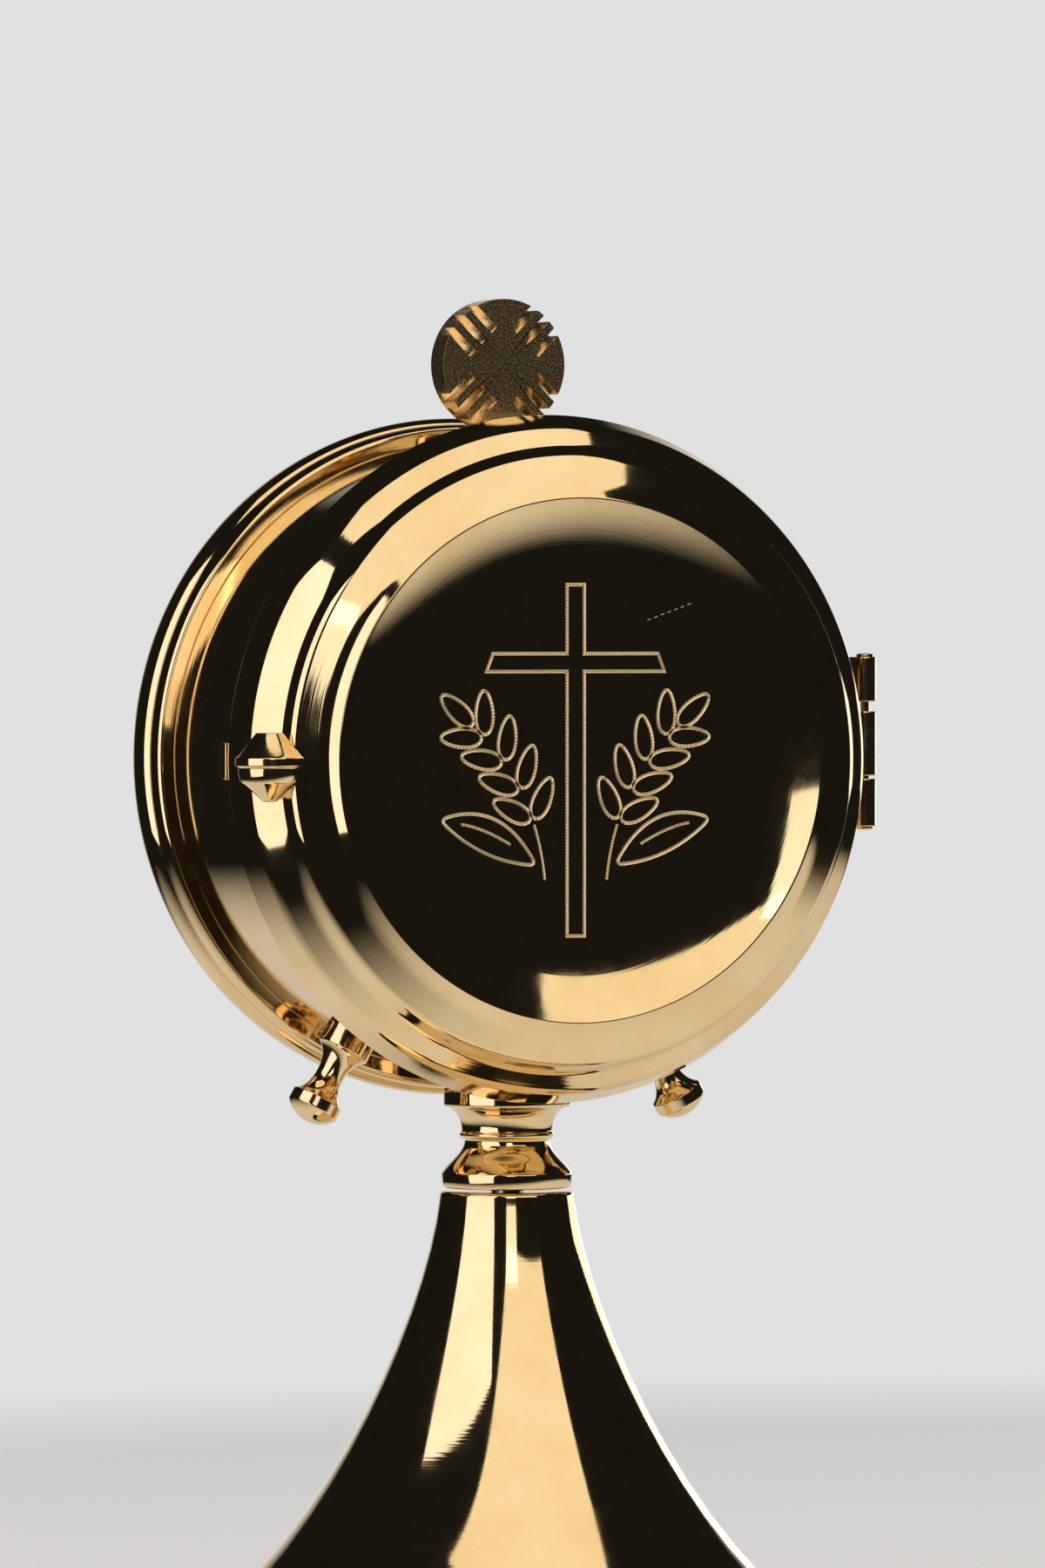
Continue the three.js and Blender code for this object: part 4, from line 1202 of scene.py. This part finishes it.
def make_stud(name, side):
    """A turned spool on the case's lower wall."""
    base = drum_radius - SEAT_LAP
    end = drum_seat + STUD_LENGTH
    base_top = drum_seat + STUD_BASE_HEIGHT
    band_end = end - STUD_DOME_HEIGHT
    band_start = band_end - STUD_BAND_HEIGHT
    waist = (base_top + band_start) / 2
    turn = Matrix.Rotation(math.pi - side * STUD_ANGLE, 4, "Y")

    def place(r, h, a):
        spot = turn @ Vector((r * math.cos(a), r * math.sin(a), h))
        return (spot + Vector((0, FITTINGS_BACK, CASE_HEIGHT))) * MM

    profile = outline(
        (0, base), [(STUD_BASE_RADIUS, base)], [(STUD_BASE_RADIUS, base_top)],
        [(STUD_WAIST_RADIUS, base_top + STUD_FLARE), (STUD_WAIST_RADIUS, waist)],
        [(STUD_WAIST_RADIUS, band_start - STUD_FLARE), (STUD_BAND_RADIUS, band_start)],
        [(STUD_BAND_RADIUS, band_end)],
        [(STUD_BAND_RADIUS * STUD_DOME_SHARE, end), (0, end)],
    )
    stud = turned("spool_" + name, profile, place, SMALL_SEGMENTS)
    settle(stud, small_gold, "side_stud_" + name)


def make_studs():
    for name, side in (("left", -1), ("right", 1)):
        make_stud(name, side)


def make_rest():
    """A channel between two lips, with a recess for the tie rod's head."""
    half = CHANNEL_WIDTH / 2
    outer = half + CHANNEL_LIP
    lip = luna_radius - CHANNEL_LIP_HEIGHT
    profile = [
        (rest_radius, -outer), (rest_radius, outer), (lip, outer), (lip, half),
        (luna_radius, half), (luna_radius, -half), (lip, -half), (lip, -outer),
    ]
    reach = angle_at(REST_HALF_WIDTH, rest_radius)
    sweep = (-math.pi / 2 - reach, -math.pi / 2 + reach)
    rest = turned("luna_channel", profile, place_on_case, SEGMENTS * 2, sweep, ease=0)
    floor = CASE_HEIGHT - luna_radius
    seat = oblong(0, ROD_HEAD_RADIUS + SCREW_CLEARANCE, floor - ROD_HEAD_HEIGHT, floor + 1)
    combined(rest, turned("recess", seat, place_upright, SMALL_SEGMENTS, ease=0), "DIFFERENCE")
    bevelled(rest, REST_BEVEL)
    settle(rest, finial_gold, "luna_rest")


def make_saddle():
    """A round block whose top follows the drum's wall."""
    low, high = neck_top - SADDLE_LAP, neck_top + 1

    def place(r, h, a):
        x, y = r * math.cos(a), r * math.sin(a)
        seat = CASE_HEIGHT - math.sqrt(drum_radius ** 2 - x * x) + SADDLE_LAP
        return Vector((x, y, seat if h == high else low)) * MM

    block = oblong(0, SADDLE_RADIUS, low, high)
    saddle = turned("saddle_block", block, place, SMALL_SEGMENTS, ease=0)
    settle(saddle, stand_gold, "drum_saddle")


def make_neck():
    """The neck from its collar down: throat, fillet, waist, flare and bead."""
    profile = outline(
        (ROD_BORE, neck_top), [(COLLAR_RADIUS - COLLAR_EDGE, neck_top)],
        [(COLLAR_RADIUS, neck_top), (COLLAR_RADIUS, neck_top - COLLAR_EDGE)],
        [(COLLAR_RADIUS, collar_bottom + COLLAR_EDGE)],
        [(COLLAR_RADIUS, collar_bottom), (COLLAR_RADIUS - COLLAR_EDGE, collar_bottom)],
        [(THROAT_RADIUS, collar_bottom - THROAT_BEND), (THROAT_RADIUS, fillet_top)],
        [(FILLET_RADIUS + FILLET_SWELL, (fillet_top + fillet_bottom) / 2), (WAIST_RADIUS, fillet_bottom)],
        [
            (WAIST_RADIUS, fillet_bottom - FLARE_BEND),
            (NECK_BEAD_RADIUS - FLARE_INSET, neck_bead + FLARE_BEND),
            (NECK_BEAD_RADIUS, neck_bead),
        ],
        [(NECK_BEAD_RADIUS, neck_bottom + KNOP_EDGE), (NECK_SEAT_RADIUS, neck_bottom)],
        [(ROD_BORE, neck_bottom)],
    )
    neck = turned("neck_turning", profile, place_upright)
    settle(neck, stand_gold, "neck_knop")


def make_foot():
    """The trumpet: a thin spun wall with a closed top round the tie rod's bore."""
    outside = outline(
        (FOOT_TOP_RADIUS - FOOT_TOP_ROUND, foot_top),
        [(FOOT_TOP_RADIUS, foot_top), (FOOT_TOP_RADIUS, foot_top - FOOT_TOP_ROUND)],
        [
            (FOOT_TOP_RADIUS + TRUMPET_NECK_BEND, foot_top * TRUMPET_NECK_SHARE),
            (FOOT_CURVE_RADIUS * TRUMPET_FLARE_SHARE, foot_top * TRUMPET_RISE_SHARE),
            (FOOT_CURVE_RADIUS, FOOT_CURVE_HEIGHT),
        ],
        [(FOOT_RADIUS, FOOT_CURVE_HEIGHT - FOOT_EDGE), (FOOT_RADIUS, FOOT_RIM_HEIGHT)],
        [(FOOT_RADIUS, FOOT_LIFT)],
    )
    within = offset(outside, -FOOT_WALL)
    within[0] = (within[0][0], foot_top - FOOT_WALL)
    profile = [(ROD_BORE, foot_top), *outside, *reversed(within), (ROD_BORE, foot_top - FOOT_WALL)]
    foot = turned("trumpet_foot", profile, place_upright)
    settle(foot, stand_gold, "foot_shell")


def make_felt():
    radius = FOOT_RADIUS - FOOT_WALL - SEAT_GAP - FELT_MARGIN
    disc = turned("felt_disc", oblong(0, radius, 0, FELT_THICKNESS), place_upright, ease=FELT_EDGE)
    settle(disc, felt, "base_felt")


def dress_solids():
    """Solids whose shape is right as it is get their finish."""
    finishes = {
        "finial_nut": case_brass, "stud_screw_left": case_brass, "stud_screw_right": case_brass,
        "base_plate": case_brass, "tie_rod": steel, "rod_washer": steel, "rod_nut": steel,
    }
    for name, material in finishes.items():
        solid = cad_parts[name]
        solid.data.materials.clear()
        solid.data.materials.append(material)
        smooth(solid)


def area_light(name, azimuth, elevation, distance, width, height, radiance, colour):
    """A soft box that faces the case."""
    across, up = math.radians(azimuth), math.radians(elevation)
    direction = Vector((math.sin(across) * math.cos(up), -math.cos(across) * math.cos(up), math.sin(up)))
    lamp = bpy.data.lights.new(name, "AREA")
    lamp.shape = "RECTANGLE"
    lamp.size = width
    lamp.size_y = height
    lamp.energy = radiance * math.pi * width * height
    lamp.color = colour
    holder = linked(name, lamp)
    holder.location = Vector((0, 0, CASE_HEIGHT * MM)) + direction * distance
    holder.rotation_euler = direction.to_track_quat("Z", "Y").to_euler()
    holder.visible_camera = False


def make_lamps():
    for name, values in LAMPS.items():
        area_light(name, *values)


def make_world():
    """A pale background, a dim room in front of the lid for reflections, and an even fill."""
    world = bpy.data.worlds.new("studio")
    bpy.context.scene.world = world
    world.use_nodes = True
    tree = world.node_tree
    tree.nodes.clear()
    where = node(tree, "ShaderNodeTexCoord").outputs["Generated"]
    away = vector_maths(tree, "DOT_PRODUCT", where, tuple(view_forward))["Value"]
    behind = spread(tree, away, *BACKDROP_REACH, ROOM_FRONT, BACKGROUND)
    path = node(tree, "ShaderNodeLightPath").outputs
    mirrored_ray = maths(tree, "MAXIMUM", path["Is Glossy Ray"], path["Is Transmission Ray"])
    level = node(tree, "ShaderNodeMix", [(0, mirrored_ray), (2, ROOM_FILL), (3, behind)]).outputs[0]
    seen = [(0, path["Is Camera Ray"]), (2, level), (3, BACKGROUND)]
    level = node(tree, "ShaderNodeMix", seen).outputs[0]
    light = node(tree, "ShaderNodeBackground", [("Strength", level)])
    light.inputs["Color"].default_value = (1, 1, 1, 1)
    end = node(tree, "ShaderNodeOutputWorld")
    tree.links.new(light.outputs[0], end.inputs["Surface"])


def make_floor():
    """A pale round floor that fades into the background towards its edge."""
    made = bmesh.new()
    bmesh.ops.create_circle(made, cap_ends=True, segments=96, radius=FLOOR_RADIUS)
    floor = mesh_object("floor", made)
    floor.location = FLOOR_CENTRE
    material, tree, shader, where = new_material("floor_paper")
    distance = vector_maths(tree, "LENGTH", where)["Value"]
    fade = spread(tree, distance, FADE_START, FADE_END, 0, 1)
    fade.node.interpolation_type = "SMOOTHSTEP"
    shader.inputs["Base Color"].default_value = (FLOOR_COLOUR,) * 3 + (1,)
    shader.inputs["Roughness"].default_value = 0.9
    clear = node(tree, "ShaderNodeBsdfTransparent")
    mix = node(tree, "ShaderNodeMixShader", [(0, fade), (1, shader.outputs[0]), (2, clear.outputs[0])])
    end = next(n for n in tree.nodes if n.type == "OUTPUT_MATERIAL")
    tree.links.new(mix.outputs[0], end.inputs["Surface"])
    floor.data.materials.append(material)


def make_camera():
    data = bpy.data.cameras.new("camera")
    data.sensor_fit = "VERTICAL"
    data.sensor_height = SENSOR_HEIGHT
    data.lens = PIXELS_PER_MM * VIEW_DISTANCE / IMAGE_HEIGHT * SENSOR_HEIGHT
    data.clip_start = 0.05
    camera = linked("camera", data)
    camera.location = (Vector(VIEW_TARGET) - view_forward * VIEW_DISTANCE) * MM
    camera.rotation_euler = view_forward.to_track_quat("-Z", "Y").to_euler()
    bpy.context.scene.camera = camera


bpy.context.scene.view_settings.view_transform = "Standard"
for make in (
    make_camera, make_lamps, make_world, make_floor, make_lid, make_cover, make_drum, make_bezel,
    make_fixed_leaf, make_lid_leaf, make_pin, make_catch, make_keeper, make_finial, make_stem,
    make_studs, make_rest, make_saddle, make_neck, make_foot, make_felt, dress_solids,
):
    make()
